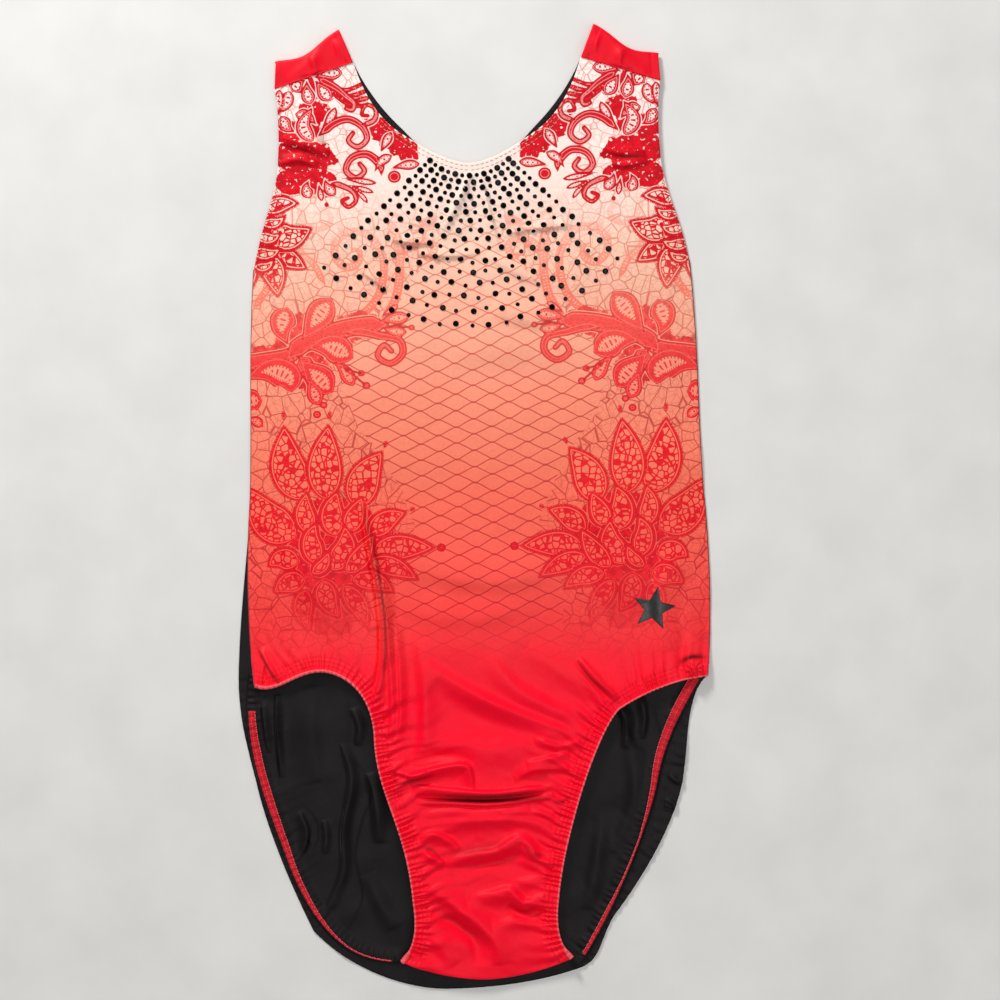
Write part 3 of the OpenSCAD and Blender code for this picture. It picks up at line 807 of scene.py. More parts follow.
LOTUS_FILL = [
    (BAND, [(122, -18), (100, -8), (84, -12), (60, -24)], 17.0),
    (BAND, [(118, -36), (92, -34), (66, -40)], 15.0),
    (BAND, [(112, -54), (94, -56), (78, -56)], 12.0),
    (BAND, [(108, -70), (94, -72), (82, -70)], 8.0),
]
ARM_FILL = [
    (BAND, [(134, 198), (138, 180), (143, 158)], 9.0),
    (BAND, [(134, 176), (124, 168), (114, 166)], 8.0),
]
FILLS = SHOULDER_FILL + SPRIG_FILL + LOTUS_FILL + ARM_FILL
SOLID, LACE = 0.0, 1.0


def stroke_width(kind, t, half):
    if kind == DROP:
        return half * np.sin(np.pi * np.clip(t, 0, 1) ** 1.7) ** 0.75
    if kind == PETAL:
        return 1.14 * half * np.sin(np.pi * np.clip(t, 0, 1) ** 0.7) ** 0.8
    if kind == CURL:
        return half * (1 - 0.45 * t) * np.minimum(1, (t / 0.12 + 0.1))
    if kind == BALL:
        return np.full_like(t, half)
    return half * np.minimum(1, np.minimum(t, 1 - t) / 0.16 + 0.25)


def stamp(p, groups):
    """The print's fields: how deep a point is in any stroke, and in the topmost one, with its style."""
    union = np.full(len(p), -20.0)
    top, along, share, lace = (np.zeros(len(p)) for _ in range(4))
    for strokes, style in groups:
        for kind, points, half in strokes:
            path = smooth_path(points)
            dist, arc, _ = nearest(p, path, half + 6)
            own = stroke_width(kind, arc / lengths(path)[-1], half) - dist
            union = np.maximum(union, own)
            over = own > 0
            top[over], along[over], lace[over] = own[over], arc[over], style
            share[over] = own[over] / half if kind in (DROP, PETAL) else 0.3
    return union, top, along, share, lace


def painted_shade(p, creases):
    """Painted shade for the tight creases: how deep each point lies in one of them, from 0 to 1."""
    depth = np.zeros(len(p))
    for points, half, strength in creases:
        path = smooth_path(points)
        dist, arc, _ = nearest(p, path, 4 * half)
        ends = np.sin(np.pi * np.clip(arc / lengths(path)[-1], 0, 1)) ** 0.6
        dark = near(dist, half) * ends * strength
        depth = np.maximum(depth, np.where(dist < 4 * half, dark, 0))
    return depth


# Where the net gives way to the crazed lace: its half width at some heights.
NET_V, NET_U = [-110, -60, -10, 20, 60, 95, 130, 175], [52, 56, 40, 52, 78, 90, 52, 20]


def print_fields(p):
    """Everything the print's shader needs at each point of the front panel."""
    half = np.column_stack([np.abs(p[:, 0]), p[:, 1]])
    groups = [(LOTUS + ARM_LOTUS, LACE), (SHOULDER + SPRIG, SOLID)]
    red, top, along, share, lace = stamp(half, groups)
    fill = stamp(half, [(FILLS, SOLID)])[0]
    pale, _, pale_along, _, _ = stamp(half, [(PALE_SCROLLS, SOLID)])
    net_edge = np.interp(p[:, 1], NET_V, NET_U)
    # The print's fields, together with the painted shade of the tight creases.
    return {"cut": np.column_stack([p, np.zeros(len(p))]), "red_depth": red, "red_top": top,
            "red_along": along, "red_share": share, "lace": lace, "fill_depth": fill,
            "painted_shade": painted_shade(p, CREASES), "pale_depth": pale, "pale_along": pale_along,
            "net_zone": net_edge - half[:, 0]}


# ---------------------------------------------------------------- materials
def rgb(code):
    """A linear colour from a hex code."""
    v = [int(code[i:i + 2], 16) / 255 for i in (1, 3, 5)]
    return [c / 12.92 if c <= 0.04045 else ((c + 0.055) / 1.055) ** 2.4 for c in v] + [1.0]


class Value:
    """A number, colour or vector inside a material; arithmetic on it adds math nodes."""

    def __init__(self, nodes, socket):
        self.nodes, self.socket = nodes, socket

    def __add__(self, other):
        return self.nodes.math("ADD", self, other)

    def __sub__(self, other):
        return self.nodes.math("SUBTRACT", self, other)

    def __rsub__(self, other):
        return self.nodes.math("SUBTRACT", other, self)

    def __mul__(self, other):
        return self.nodes.math("MULTIPLY", self, other)

    def __truediv__(self, other):
        return self.nodes.math("DIVIDE", self, other)

    def most(self, other):
        return self.nodes.math("MAXIMUM", self, other)

    def least(self, other):
        return self.nodes.math("MINIMUM", self, other)

    def size(self):
        return self.nodes.math("ABSOLUTE", self)

    def folded(self, width):
        return self.nodes.math("PINGPONG", self, width)

    def wave(self, period):
        return self.nodes.math("SINE", self * (2 * math.pi / period))

    def step(self, low, high):
        """0 at low, 1 at high."""
        return self.nodes.node("MapRange", {"Value": self, "From Min": low, "From Max": high}, "Result")


class Nodes:
    """The nodes of one material."""

    def __init__(self, name, **sockets):
        self.material = bpy.data.materials.new(name)
        self.material.use_nodes = True
        self.tree = self.material.node_tree
        self.shader = self.tree.nodes["Principled BSDF"]
        for key, value in sockets.items():
            self.shader.inputs[key.replace("_", " ")].default_value = value

    def link(self, value, socket):
        if isinstance(value, Value):
            self.tree.links.new(value.socket, socket)
        else:
            socket.default_value = value

    def node(self, kind, inputs, output=0, **settings):
        """An output of a new node, with its inputs linked or set."""
        node = self.tree.nodes.new("ShaderNode" + kind)
        for key, value in settings.items():
            setattr(node, key, value)
        for key, value in inputs.items():
            self.link(value, node.inputs[key])
        return Value(self, node.outputs[output])

    def math(self, operation, *values):
        return self.node("Math", dict(enumerate(values)), operation=operation)

    def mix(self, factor, a, b, blend="MIX"):
        return self.node("Mix", {"Factor": factor, 6: a, 7: b}, 2, data_type="RGBA", blend_type=blend)

    def attribute(self, name, output="Fac"):
        return self.node("Attribute", {}, output, attribute_name=name)

    def split(self, vector):
        node = self.tree.nodes.new("ShaderNodeSeparateXYZ")
        self.link(vector, node.inputs[0])
        return [Value(self, socket) for socket in node.outputs]

    def vector(self, x, y):
        return self.node("CombineXYZ", {0: x, 1: y})

    def noise(self, vector, scale, detail, output="Fac"):
        return self.node("TexNoise", {"Vector": vector, "Scale": scale, "Detail": detail}, output)

    def cell_edge(self, vector, scale, randomness=1.0):
        inputs = {"Vector": vector, "Scale": scale, "Randomness": randomness}
        return self.node("TexVoronoi", inputs, "Distance", feature="DISTANCE_TO_EDGE") / scale

    def ramp(self, value, stops):
        node = self.tree.nodes.new("ShaderNodeValToRGB")
        self.link(value, node.inputs[0])
        ramp = node.color_ramp
        while len(ramp.elements) < len(stops):
            ramp.elements.new(0.5)
        for element, (at, code) in zip(ramp.elements, stops):
            element.position = at
            element.color = rgb(code)
        return Value(self, node.outputs[0])

    def mottled(self, at, scale, detail, code, other):
        """Two colours that drift into each other."""
        return self.mix(self.noise(at, scale, detail).step(0.3, 0.7), rgb(code), rgb(other))

    def bump(self, height, distance, strength):
        return self.node("Bump", {"Distance": distance, "Strength": strength, "Height": height})

    def millimetres(self):
        """Position in millimetres, fixed to the piece."""
        return self.node("VectorMath", {0: self.node("TexCoord", {}, "Object"), "Scale": 1000},
                         operation="SCALE")

    def finish(self, color, normal, roughness=None):
        self.link(color, self.shader.inputs["Base Color"])
        self.link(normal, self.shader.inputs["Normal"])
        if roughness is not None:
            self.link(roughness, self.shader.inputs["Roughness"])
        return self.material


def knit_height(u, v, pitch=0.55):
    """The fine ribs of a warp knit: columns with a small stitch in each."""
    rib = u.wave(pitch)
    return rib * 0.6 + rib * v.wave(pitch * 0.8) * 0.4


# Colours from the crotch to the shoulders: the ground, the motifs, the net and lace lines, the pale scrolls.
GROUND = [(0.0, "#ff0028"), (0.30, "#ff022a"), (0.345, "#ff1c30"), (0.39, "#ff413f"), (0.45, "#ff5c4e"),
          (0.51, "#ff7058"), (0.56, "#ff8467"), (0.62, "#ff9578"), (0.70, "#ffb496"), (0.77, "#ffd0b6"),
          (0.83, "#ffe6d8"), (0.92, "#fff2ea"), (1.0, "#fff6f0")]
INK = [(0.0, "#e0001c"), (0.33, "#e40220"), (0.42, "#ee0a24"), (0.55, "#f3121f"), (0.60, "#f5142c"),
       (0.645, "#fb3a3c"), (0.70, "#ff5a50"), (0.715, "#ff6a5c"), (0.76, "#e01024"), (0.80, "#e2061f"),
       (1.0, "#e0001c")]
LINES = [(0.0, "#c4061a"), (0.35, "#c80a20"), (0.50, "#c01c24"), (0.62, "#c43a34"), (0.70, "#d85c4c"),
         (0.78, "#e8826c"), (0.86, "#eea08c"), (1.0, "#e88a80")]
PALE_INK = [(0.0, "#ff6050"), (0.66, "#ff6a58"), (0.72, "#ff8068"), (0.80, "#fa9c84"), (1.0, "#f8ac98")]
PRINT_SPAN = -312, 311        # garment v at the two ends of the ramps above
PRINT_FADE = 0.335, 0.40      # where along them the print comes in
NET_WIDTH, NET_RISE, NET_GAP = 23.0, 5.2, 0.4


def fishnet(u, v):
    """Distance to the lines of a stretched honeycomb net."""
    row = v.nodes.math("FLOOR", v / NET_RISE)
    gaps = []
    for shift in (0, 1):
        k = row + shift
        wave = ((u / NET_WIDTH + k * 0.5).folded(0.5) * 4.0 - 1.0) * 1.3
        line = wave.most(-1.0).least(1.0) * ((NET_RISE - NET_GAP) / 2) + k * NET_RISE
        gaps.append((v - line).size() * 0.9)
    to_post = (0.5 - (u / NET_WIDTH + row * 0.5).folded(0.5)) * NET_WIDTH
    past = (v - (row + 0.5) * NET_RISE).size() - NET_GAP / 2
    return gaps[0].least(gaps[1]).least(to_post + past.most(0.0))


def printed_fabric():
    n = Nodes("printed_spandex", Roughness=0.46, Sheen_Weight=0.04, Sheen_Roughness=0.4,
              Specular_IOR_Level=0.14)
    cut = n.attribute("cut", "Vector")
    u, v, _ = n.split(cut)
    au = u.size()
    height = v.step(*PRINT_SPAN)
    ground = n.ramp(n.noise(cut, 0.02, 2) * 0.03 + (height - 0.015), GROUND)
    ink = n.ramp(height, INK)
    wander_u, wander_v, _ = n.split(n.noise(n.vector(au, v), 0.05, 2, "Color"))
    lace_at = n.vector(wander_u * 5.0 + au, wander_v * 5.0 + v)
    lines = n.mix(net_zone(n, cut), crazing(n, lace_at),
                  fishnet(wander_u * 1.5 + u, wander_v * 3.0 + v).step(0.5, 0.2))
    low_end = height.step(*PRINT_FADE)
    shown = (low_end * height.step(0.845, 0.78)).most(au.step(60, 75) * low_end)
    color = n.mix(lines * shown * 0.85, ground, n.ramp(height, LINES))
    color = pale_layer(n, color, height)
    color = red_layer(n, color, ground, ink, height, lace_at)
    grain = n.noise(cut, 1.4, 3)
    tint = n.noise(cut, 0.5, 2).step(0.3, 0.7)
    color = n.mix(tint * 0.10, color, rgb("#b00018"), "MULTIPLY")
    # Painted shade: the tight creases are darkened towards a deep red, standing in for the light that does
    # not reach them.
    color = n.mix(n.attribute("painted_shade"), color, rgb("#3a0006"))
    return n.finish(color, n.bump(knit_height(u, v) * 0.5 + grain, 0.00006, 0.6), grain * 0.12 + 0.40)


def net_zone(n, cut):
    """1 inside the netted middle, whose edge is ragged."""
    ragged = n.noise(cut, 0.06, 1) * 8.0
    return (ragged + (n.attribute("net_zone") - 4.0)).step(-0.4, 0.4)


def crazing(n, lace_at):
    """The cracked lace ground: bold cells with a faint web between them."""
    bold = n.cell_edge(lace_at, 0.115).step(0.45, 0.12)
    web = n.cell_edge(lace_at, 0.21, 0.9).step(0.32, 0.06)
    return bold.most(web * 0.4)


def pale_layer(n, color, height):
    """Salmon scrolls behind the crystals, with ladder ticks inside their edges."""
    depth = n.attribute("pale_depth")
    tick = n.attribute("pale_along").wave(2.1).step(0.1, 0.5)
    ladder = depth.step(1.2, 1.5) * depth.step(2.6, 2.3) * tick * 0.8
    body = depth.step(-0.2, 0.2) * (1.0 - ladder)
    return n.mix(body * height.step(0.84, 0.74), color, n.ramp(height, PALE_INK))


def motif_light(n, top, share, along, tick, lace, lace_at):
    """Where a motif lets the ground through: windows in solid ones, lace holes in the others."""
    line = top.step(1.1, 1.35) * top.step(1.85, 1.6)
    rung = tick.step(0.1, 0.5) * share.step(0.66, 0.62)
    bead = along.wave(3.4).step(0.3, 0.6) * share.step(0.74, 0.80)
    pane = share.step(0.50, 0.54) * (1.0 - rung.most(bead))
    solid_light = (line * 0.35).most(pane * 0.85)
    seam = top.step(2.0, 2.2) * top.step(3.0, 2.8)
    holes = n.cell_edge(lace_at, 0.25, 0.7).step(0.32, 0.5)
    lace_light = (seam * 0.85).most(top.step(3.4, 3.7) * holes * 0.95)
    return n.mix(lace, solid_light, lace_light)


def solid_mass(n, color, ground, ink, deep, depth, present, lace_at):
    """The ragged solid red behind the motifs, with specks and a clear moat round each motif."""
    mass = (n.attribute("fill_depth") + (n.noise(lace_at, 0.22, 3) * 9.0 - 4.5)).step(-0.3, 0.3)
    moat = depth.step(-0.8, -0.6) * depth.step(0.1, -0.1)
    speck = n.noise(lace_at, 0.42, 1).step(0.66, 0.70) * 0.85
    mass_color = n.mix(n.noise(lace_at, 0.22, 2).step(0.45, 0.6) * 0.55, ink, deep)
    return n.mix(mass * present, color, n.mix(speck.most(moat * 0.8), mass_color, ground))


def red_layer(n, color, ground, ink, height, lace_at):
    """Paisleys, scrolls and lotus petals over their solid mass."""
    depth, top, along = n.attribute("red_depth"), n.attribute("red_top"), n.attribute("red_along")
    share, lace = n.attribute("red_share"), n.attribute("lace").step(0.45, 0.55)
    tick = along.wave(1.9)
    edge = (depth + tick * 0.8 * lace).step(-0.2, 0.2)
    outline = top.step(0.0, 0.1) * top.step(0.75, 0.45)
    deep = n.mix(0.65, ink, rgb("#8c0008"))
    present = height.step(0.335, 0.44)
    color = solid_mass(n, color, ground, ink, deep, depth, present, lace_at)
    mottle = n.noise(lace_at, 0.5, 2).step(0.4, 0.7) * 0.4
    shade = n.mix(mottle.most(outline * 0.75), ink, deep)
    light = motif_light(n, top, share, along, tick, lace, lace_at)
    return n.mix(edge * present, color, n.mix(light, shade, ground))


def black_knit():
    n = Nodes("black_stretch_knit", Roughness=0.5, Sheen_Weight=0.06, Sheen_Roughness=0.35,
              Specular_IOR_Level=0.14)
    at = n.millimetres()
    x, y, _ = n.split(at)
    grain = n.noise(at, 1.1, 3)
    # Painted shade: the back panel's tight creases and the strip beside the front's left leg edge are
    # darkened almost to black.
    color = n.mix(n.attribute("painted_shade"), n.mottled(at, 0.05, 3, "#120f0f", "#1a1616"), rgb("#010000"))
    return n.finish(color, n.bump(knit_height(x, y, 0.6) * 0.6 + grain, 0.00007, 0.7), grain * 0.2 + 0.42)


def red_satin():
    n = Nodes("red_spandex", Roughness=0.45, Sheen_Weight=0.06, Sheen_Roughness=0.4,
              Specular_IOR_Level=0.18)
    at = n.millimetres()
    x, y, _ = n.split(at)
    surface = knit_height(x, y) * 0.5 + n.noise(at, 1.4, 3)
    return n.finish(n.mottled(at, 0.06, 3, "#e0001c", "#ee0022"), n.bump(surface, 0.00006, 0.6),
                    n.noise(at, 0.9, 3) * 0.14 + 0.38)


def plain_knit(name, code, other):
    n = Nodes(name, Roughness=0.7, Sheen_Weight=0.2)
    at = n.millimetres()
    x, y, _ = n.split(at)
    return n.finish(n.mottled(at, 0.2, 3, code, other), n.bump(knit_height(x, y, 0.7), 0.00008, 0.8))


def thread(name, code, other):
    n = Nodes(name, Roughness=0.6, Sheen_Weight=0.08, Specular_IOR_Level=0.25)
    at = n.millimetres()
    x, y, z = n.split(at)
    twist = n.math("SINE", (x + (y + z)) * 16.0)
    return n.finish(n.mottled(at, 1.3, 2, code, other), n.bump(twist, 0.00004, 0.6))


def black_glass():
    n = Nodes("black_crystal_glass", Roughness=0.15, Specular_IOR_Level=0.16)
    at = n.millimetres()
    color = n.mix(n.noise(at, 0.4, 2).step(0.35, 0.65), rgb("#040405"), rgb("#0c0b0e"))
    return n.finish(color, n.bump(n.noise(at, 2.5, 1), 0.00001, 0.4), n.noise(at, 3.0, 2) * 0.08 + 0.03)


def transfer_vinyl():
    n = Nodes("black_transfer", Roughness=0.38, Specular_IOR_Level=0.5)
    at = n.millimetres()
    return n.finish(n.mottled(at, 0.5, 3, "#12100f", "#1d1918"), n.bump(n.noise(at, 1.6, 3), 0.00005, 0.7),
                    n.noise(at, 1.0, 3) * 0.25 + 0.28)


def pale_floor():
    n = Nodes("pale_floor", Roughness=0.8)
    at = n.millimetres()
    return n.finish(n.mottled(at, 0.02, 3, "#dcdad6", "#e4e2de"), n.bump(n.noise(at, 0.8, 2), 0.0001, 0.3))


# ---------------------------------------------------------------- the pieces
COARSE, FINE = 5.0, 2.3                  # spacing of a panel's points before they are halved
LEG_REACH, CREASE_REACH = 12.0, 5.0      # how far the fine points reach
TURNED_IN = 7.0                          # width of the rim that is turned under


def panel_sheet(edges, fine_edges, creases, height, roll):
    zones = [(edges[k], LEG_REACH) for k in fine_edges]
    zones += [(smooth_path(points), CREASE_REACH) for points in creases]
    points, faces = fill_outline(edges, COARSE, FINE, fine_edges, zones)
    levels = 2
    for _ in range(levels):
        points, faces = halved(points, faces)
    faces = upward(points, faces)
    solid = np.column_stack([points, height(points)])
    return rolled_edge(solid, faces, TURNED_IN, roll)


def front_panel():
    edges = [NECK_FRONT, SEAM, ARMHOLE, SIDE, LEG_RIGHT, CROTCH, mirrored(CROTCH), mirrored(LEG_LEFT),
             mirrored(SIDE), mirrored(ARMHOLE), mirrored(SEAM), mirrored(NECK_FRONT)]
    creases = [f[0] for f in FRONT_FOLDS if f[1] < 3.1] + [crease[0] for crease in CREASES]
    points, faces = panel_sheet(edges, (4, 7), creases, front_height, 1.0)
    values = print_fields(points[:, :2])
    panel = new_mesh("front_panel_fabric", points, faces, printed_fabric(), values)
    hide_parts("front_panel")


def back_panel():
    edges = [NECK_BACK, SEAM, ARMHOLE, SIDE, BACK_LEG_RIGHT, BACK_CROTCH, BACK_LEG_LEFT,
             BACK_SIDE_LEFT, mirrored(SIDE_TOP), mirrored(ARMHOLE), mirrored(SEAM), mirrored(NECK_BACK)]
    creases = [HEM_LEFT, HEM_RIGHT] + [crease[0] for crease in BACK_CREASES]
    points, faces = panel_sheet(edges, (4, 6), creases, back_height, 0.7)
    # Painted shadow: the back panel is darkened in a band beside the front's left leg edge, where that edge
    # casts its shadow, and kept with the painted crease shade.
    shade = 0.7 * near(edge_gap(points[:, :2], LEGS[-1], 12), 5)
    values = {"painted_shade": np.maximum(painted_shade(points[:, :2], BACK_CREASES), shade)}
    panel = new_mesh("back_panel_fabric", points, faces, black_knit(), values)
    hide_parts("back_panel")


YOKE_DIP = 4.8          # how far the shoulder fold bows down between its ends
YOKE_LENGTH = 51.0      # along the fold line
YOKE_CREASES = [
    ([(97, 277), (99, 290), (103, 299)], 3.4, 1.1, 0.5),
    ([(90, 288), (97, 284), (108, 283)], 3.0, 0.8, -0.4),
    ([(82, 292), (84, 300), (86, 306)], 2.2, 0.8, 0.4),
]


def yoke(name, hand, node):
    """A yoke: the front leaf, the fold over the shoulder and the back leaf, as one sheet."""
    across = np.linspace(0, 1, 61)
    leaf = np.linspace(0, 1, 24)
    seam = SEAM_IN + across[:, None] * (SEAM_OUT - SEAM_IN)
    front_z = front_height(seam * [hand, 1])
    fold_line = FOLD_IN + across[:, None] * (FOLD_OUT - FOLD_IN)
    run = FOLD_OUT - FOLD_IN
    out = np.array([[-run[1], run[0]]]) / np.linalg.norm(run)
    fold_line = fold_line - out * YOKE_DIP * np.sin(np.pi * across[:, None] ** 1.35) ** 1.5
    along = across * YOKE_LENGTH
    pucker = 0.35 * waves(along, 7, 9)
    casing = sum(near((across - at) * YOKE_LENGTH, 0.8) for at in (0.1, 0.9))
    rows = []
    for t in leaf:
        p = seam + t * (fold_line - seam)
        z = front_z + 0.25 + 0.5 * np.sin(np.pi * t) + pucker * np.exp(-t * 4)
        z += 0.5 * waves(along + 14 * t, 8, 30) * t * (1 - t) * 4 - 0.35 * casing
        z += add_folds(p, YOKE_CREASES) * np.sin(np.pi * t) ** 0.5
        rows.append((p, z))
    high, low = rows[-1][1].copy(), 0.9
    for turn in np.linspace(0, np.pi, 9)[1:]:
        half = (high - low) / 2
        rows.append((fold_line + out * np.sin(turn) * 1.6, low + half * (1 + np.cos(turn))))
    for t in leaf[1:]:
        p = fold_line + t * (seam - fold_line)
        rows.append((p, np.full(len(across), low) + 0.2 * np.sin(np.pi * t)))
    points = np.vstack([np.column_stack([p, z]) for p, z in rows])
    points[:, 0] *= hand
    faces = [quad[::hand] for quad in lattice(len(rows), len(across))]
    piece = new_mesh(name, points, faces, RED_SATIN)
    thick = piece.modifiers.new("thickness", "SOLIDIFY")
    thick.thickness = 0.0007
    thick.offset = -1
    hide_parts(node)


def simple_piece(name, shapes, material, node):
    piece = new_mesh(name, *merged(shapes), material)
    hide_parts(node)


# How far the rows of a band of elastic lie below the face of a front edge, a back edge and a leg edge.
UNDER, ON_TOP, UNDER_GATHERS = (0.7, 0.8, 0.9), (0.9, 0.9, 0.9), (1.2, 1.6, 1.6)
NECK_BAND, LEG_BAND = 5.6, 8.0


def elastic(name, runs, node):
    """Woven elastic inside the turned edges: a flat ribbon under each front edge and on each back edge."""
    shapes = [strip(path, (-0.15 * width, -width / 2, -width), height, drops)
              for path, width, height, drops in runs]
    simple_piece(name, shapes, ELASTIC, node)


def elastics():
    neck = [(edge * [hand, 1], NECK_BAND * hand, height, drops)
            for edge, height, drops in ((NECK_FRONT, front_height, UNDER), (NECK_BACK, back_height, ON_TOP))
            for hand in (1, -1)]
    elastic("neck_elastic_band", neck, "neck_elastic")
    for hand, side in SIDES:
        arm, width = ARMHOLE * [hand, 1], NECK_BAND * hand
        elastic(side + "_armhole_elastic_band", [(arm, width, front_height, UNDER),
                (arm, width, back_height, ON_TOP)], side + "_armhole_elastic")
        leg, hem = LEGS[hand][5:-5], HEMS[hand][3:-3]
        elastic(side + "_leg_elastic_band", [(leg, LEG_BAND * hand, front_height, UNDER_GATHERS),
                (hem, HEM_WIDTH * hand, back_height, ON_TOP)], side + "_leg_elastic")


def wall(path, low, high, bulge):
    """A seam allowance standing between the two panels along a path."""
    path = evenly(path, 2.0)
    bottom = low(path) - 0.4
    top = high(path) - 0.3
    rows = []
    for t, out in ((0, 0.2), (0.3, 1.0), (0.7, 1.0), (1, 0.2)):
        p = offset_path(path, out * bulge)
        rows.append(np.column_stack([p, np.maximum(bottom + t * (top - bottom), 0.15)]))
    return np.vstack(rows), lattice(len(rows), len(path))


def seams():
    for hand, side in SIDES:
        allowance = wall(SIDE * [hand, 1], back_height, front_height, 0.8 * hand)
        simple_piece(side + "_side_seam_edge", [allowance], SEAM_RED, side + "_side_seam")
        path = evenly(SEAM * [hand, 1], 1.0)
        ridge, _ = on_surface(front_height, path, 0.35)
        ridge[:, 2] += 0.15 * waves(lengths(path), 70, 5)
        simple_piece(side + "_front_yoke_ridge", [tube(ridge, 0.55, 8)], RED_SATIN,
                     side + "_front_yoke_seam")
        back = np.column_stack([path, np.full(len(path), 1.4)])
        simple_piece(side + "_back_yoke_ridge", [tube(back, 0.5, 8)], SEAM_RED,
                     side + "_back_yoke_seam")
    bottom = np.vstack([CROTCH, mirrored(CROTCH)[1:]])
    simple_piece("crotch_seam_edge", [wall(bottom, back_height, front_height, 0.6)], SEAM_RED,
                 "crotch_seam")


def gusset_lining():
    """The lining under the crotch, a little narrower than the panel above it."""
    low, high = -288, -200
    leg = LEG_RIGHT[(LEG_RIGHT[:, 1] < high) & (LEG_RIGHT[:, 1] > low)]
    right = offset_path(leg, -9.5)
    points, faces = fill_outline([np.vstack([right, mirrored(right), right[:1]])], 4.0)
    z = front_height(points) - 1.5
    piece = new_mesh("gusset_lining_fabric", np.column_stack([points, z]), faces, LINING)
    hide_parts("gusset_lining")


def leg_edging(hand, side):
    """The twisted elastic edge of a leg opening, swelling into a turned tab at the crotch."""
    path, _ = on_surface(front_height, evenly(offset_path(LEGS[hand], -0.3 * hand), 0.35), -0.1)
    along = lengths(path)
    share = along / along[-1]
    twist = np.sin(2 * np.pi * along / 1.7)
    arc = np.interp(share, [0, 0.03, 0.25, 0.33], [1.35, 1.15, 1.0, 0.62] if hand < 0 else [0.62] * 4)
    tab = 1.1 * ease(along, along[-1] - 12, along[-1] - 2)
    radius = (arc + tab) * (1 + 0.13 * twist)
    edging = new_mesh(side + "_leg_edge_thread", *tube(path, radius, 8), LEG_THREAD)


def neck_stitches(side, edge, height, material):
    rows = [running_stitches(edge[:-4] * [-hand, 1], hand * inset, 2.4, 0.9, 0.22, height)
            for hand in (-1, 1) for inset in (1.7, 4.4)]
    simple_piece(side + "_neck_stitches", rows, material, side + "_neck_topstitch")


def armhole_stitches(hand, side):
    arm = ARMHOLE[3:] * [hand, 1]
    rows = [zigzag_thread(arm, -1.5 * hand, 1.6, 2.4, 0.17, front_height),
            running_stitches(arm, -4.8 * hand, 2.2, 0.9, 0.18, front_height)]
    simple_piece(side + "_armhole_stitches", rows, RED_THREAD, side + "_armhole_topstitch")


def front_leg_stitches(hand, side):
    """Rows of ladder stitches; on the left they only start below the opening's rounded top."""
    leg = LEGS[hand][2:-2]
    if hand < 0:
        leg = leg[leg[:, 1] < -138]
    rows = [running_stitches(leg, -inset * hand, 1.9, 1.75, 0.2, front_height) for inset in LADDER_ROWS]
    simple_piece(side + "_front_leg_stitches", rows, RED_THREAD, side + "_front_leg_topstitch")


def back_leg_stitches(hand, side):
    """The cover-stitched band on a turned hem, with beads along its inner rim and a lacing row."""
    hem = HEMS[hand][(7 if hand < 0 else 3):-1]
    widths = [w * -hand for w in HEM_WIDTHS[hand]]
    rows = [hem_mat(hem, widths, back_height, 0.25),
            running_stitches(hem, -0.9 * hand, 1.4, 0.5, 0.2, back_height, 0.3)]
    simple_piece(side + "_back_leg_stitches", rows, HEM_THREAD, side + "_back_leg_topstitch")
    path = evenly(hem, 1.0)
    way = band_way(path, widths)
    beads = running_stitches(path + 0.93 * way, 0.01, 1.1, 0.5, 0.34, back_height, 0.6)
    lacing = running_stitches(path + 0.45 * way, 0.0, 0.9, 0.9, 0.2, back_height, 0.45)
    bright = new_mesh(side + "_back_leg_lacing", *merged([beads, lacing]), LEG_THREAD)


def topstitching():
    neck_stitches("front", NECK_FRONT, front_height, PALE_THREAD)
    neck_stitches("back", NECK_BACK, back_height, DARK_THREAD)
    for hand, side in SIDES:
        armhole_stitches(hand, side)
        front_leg_stitches(hand, side)
        leg_edging(hand, side)
        back_leg_stitches(hand, side)


def islands(node):
    """Centre and radius of each separate solid of a CAD node, in garment millimetres."""
    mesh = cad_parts[node].data
    points = np.empty(len(mesh.vertices) * 3)
    mesh.vertices.foreach_get("co", points)
    points = points.reshape(-1, 3) * 1000 - [MIDDLE, RISE, 0]
    edges = np.empty(len(mesh.edges) * 2, int)
    mesh.edges.foreach_get("vertices", edges)
    edges = edges.reshape(-1, 2)
    label = np.arange(len(points))
    while True:
        low = np.minimum(label[edges[:, 0]], label[edges[:, 1]])
        before = label.copy()
        np.minimum.at(label, edges[:, 0], low)
        np.minimum.at(label, edges[:, 1], low)
        if (label == before).all():
            break
    found = []
    for k in np.unique(label):
        part = points[label == k]
        centre = (part.max(axis=0) + part.min(axis=0)) / 2
        found.append((centre[0], centre[1], (part[:, 0].max() - part[:, 0].min()) / 2))
    return np.array(found)


def gem(radius, height, sides=12):
    """A flat-back stone: girdle, two rings of crown facets and a table."""
    turn = np.arange(sides) * 2 * np.pi / sides
    half = turn + np.pi / sides
    rings = [(turn, 1.0, 0.0), (turn, 1.0, 0.22), (half, 0.80, 0.62), (turn, 0.52, 1.0)]
    pts = np.vstack([np.column_stack([radius * r * np.cos(t), radius * r * np.sin(t),
                                      np.full(sides, height * z)]) for t, r, z in rings])
    k, k1 = np.arange(sides), (np.arange(sides) + 1) % sides
    faces = np.stack([k, k1, k1 + sides, k + sides], axis=1).tolist()
    a, b, c = sides, 2 * sides, 3 * sides
    for i in range(sides):
        j = (i + 1) % sides
        faces += [[a + i, a + j, b + i], [b + i, a + j, b + j]]
        faces += [[b + i, b + j, c + j], [c + i, b + i, c + j]]
    faces += [list(range(c, c + sides)), list(range(sides))[::-1]]
    return pts, faces


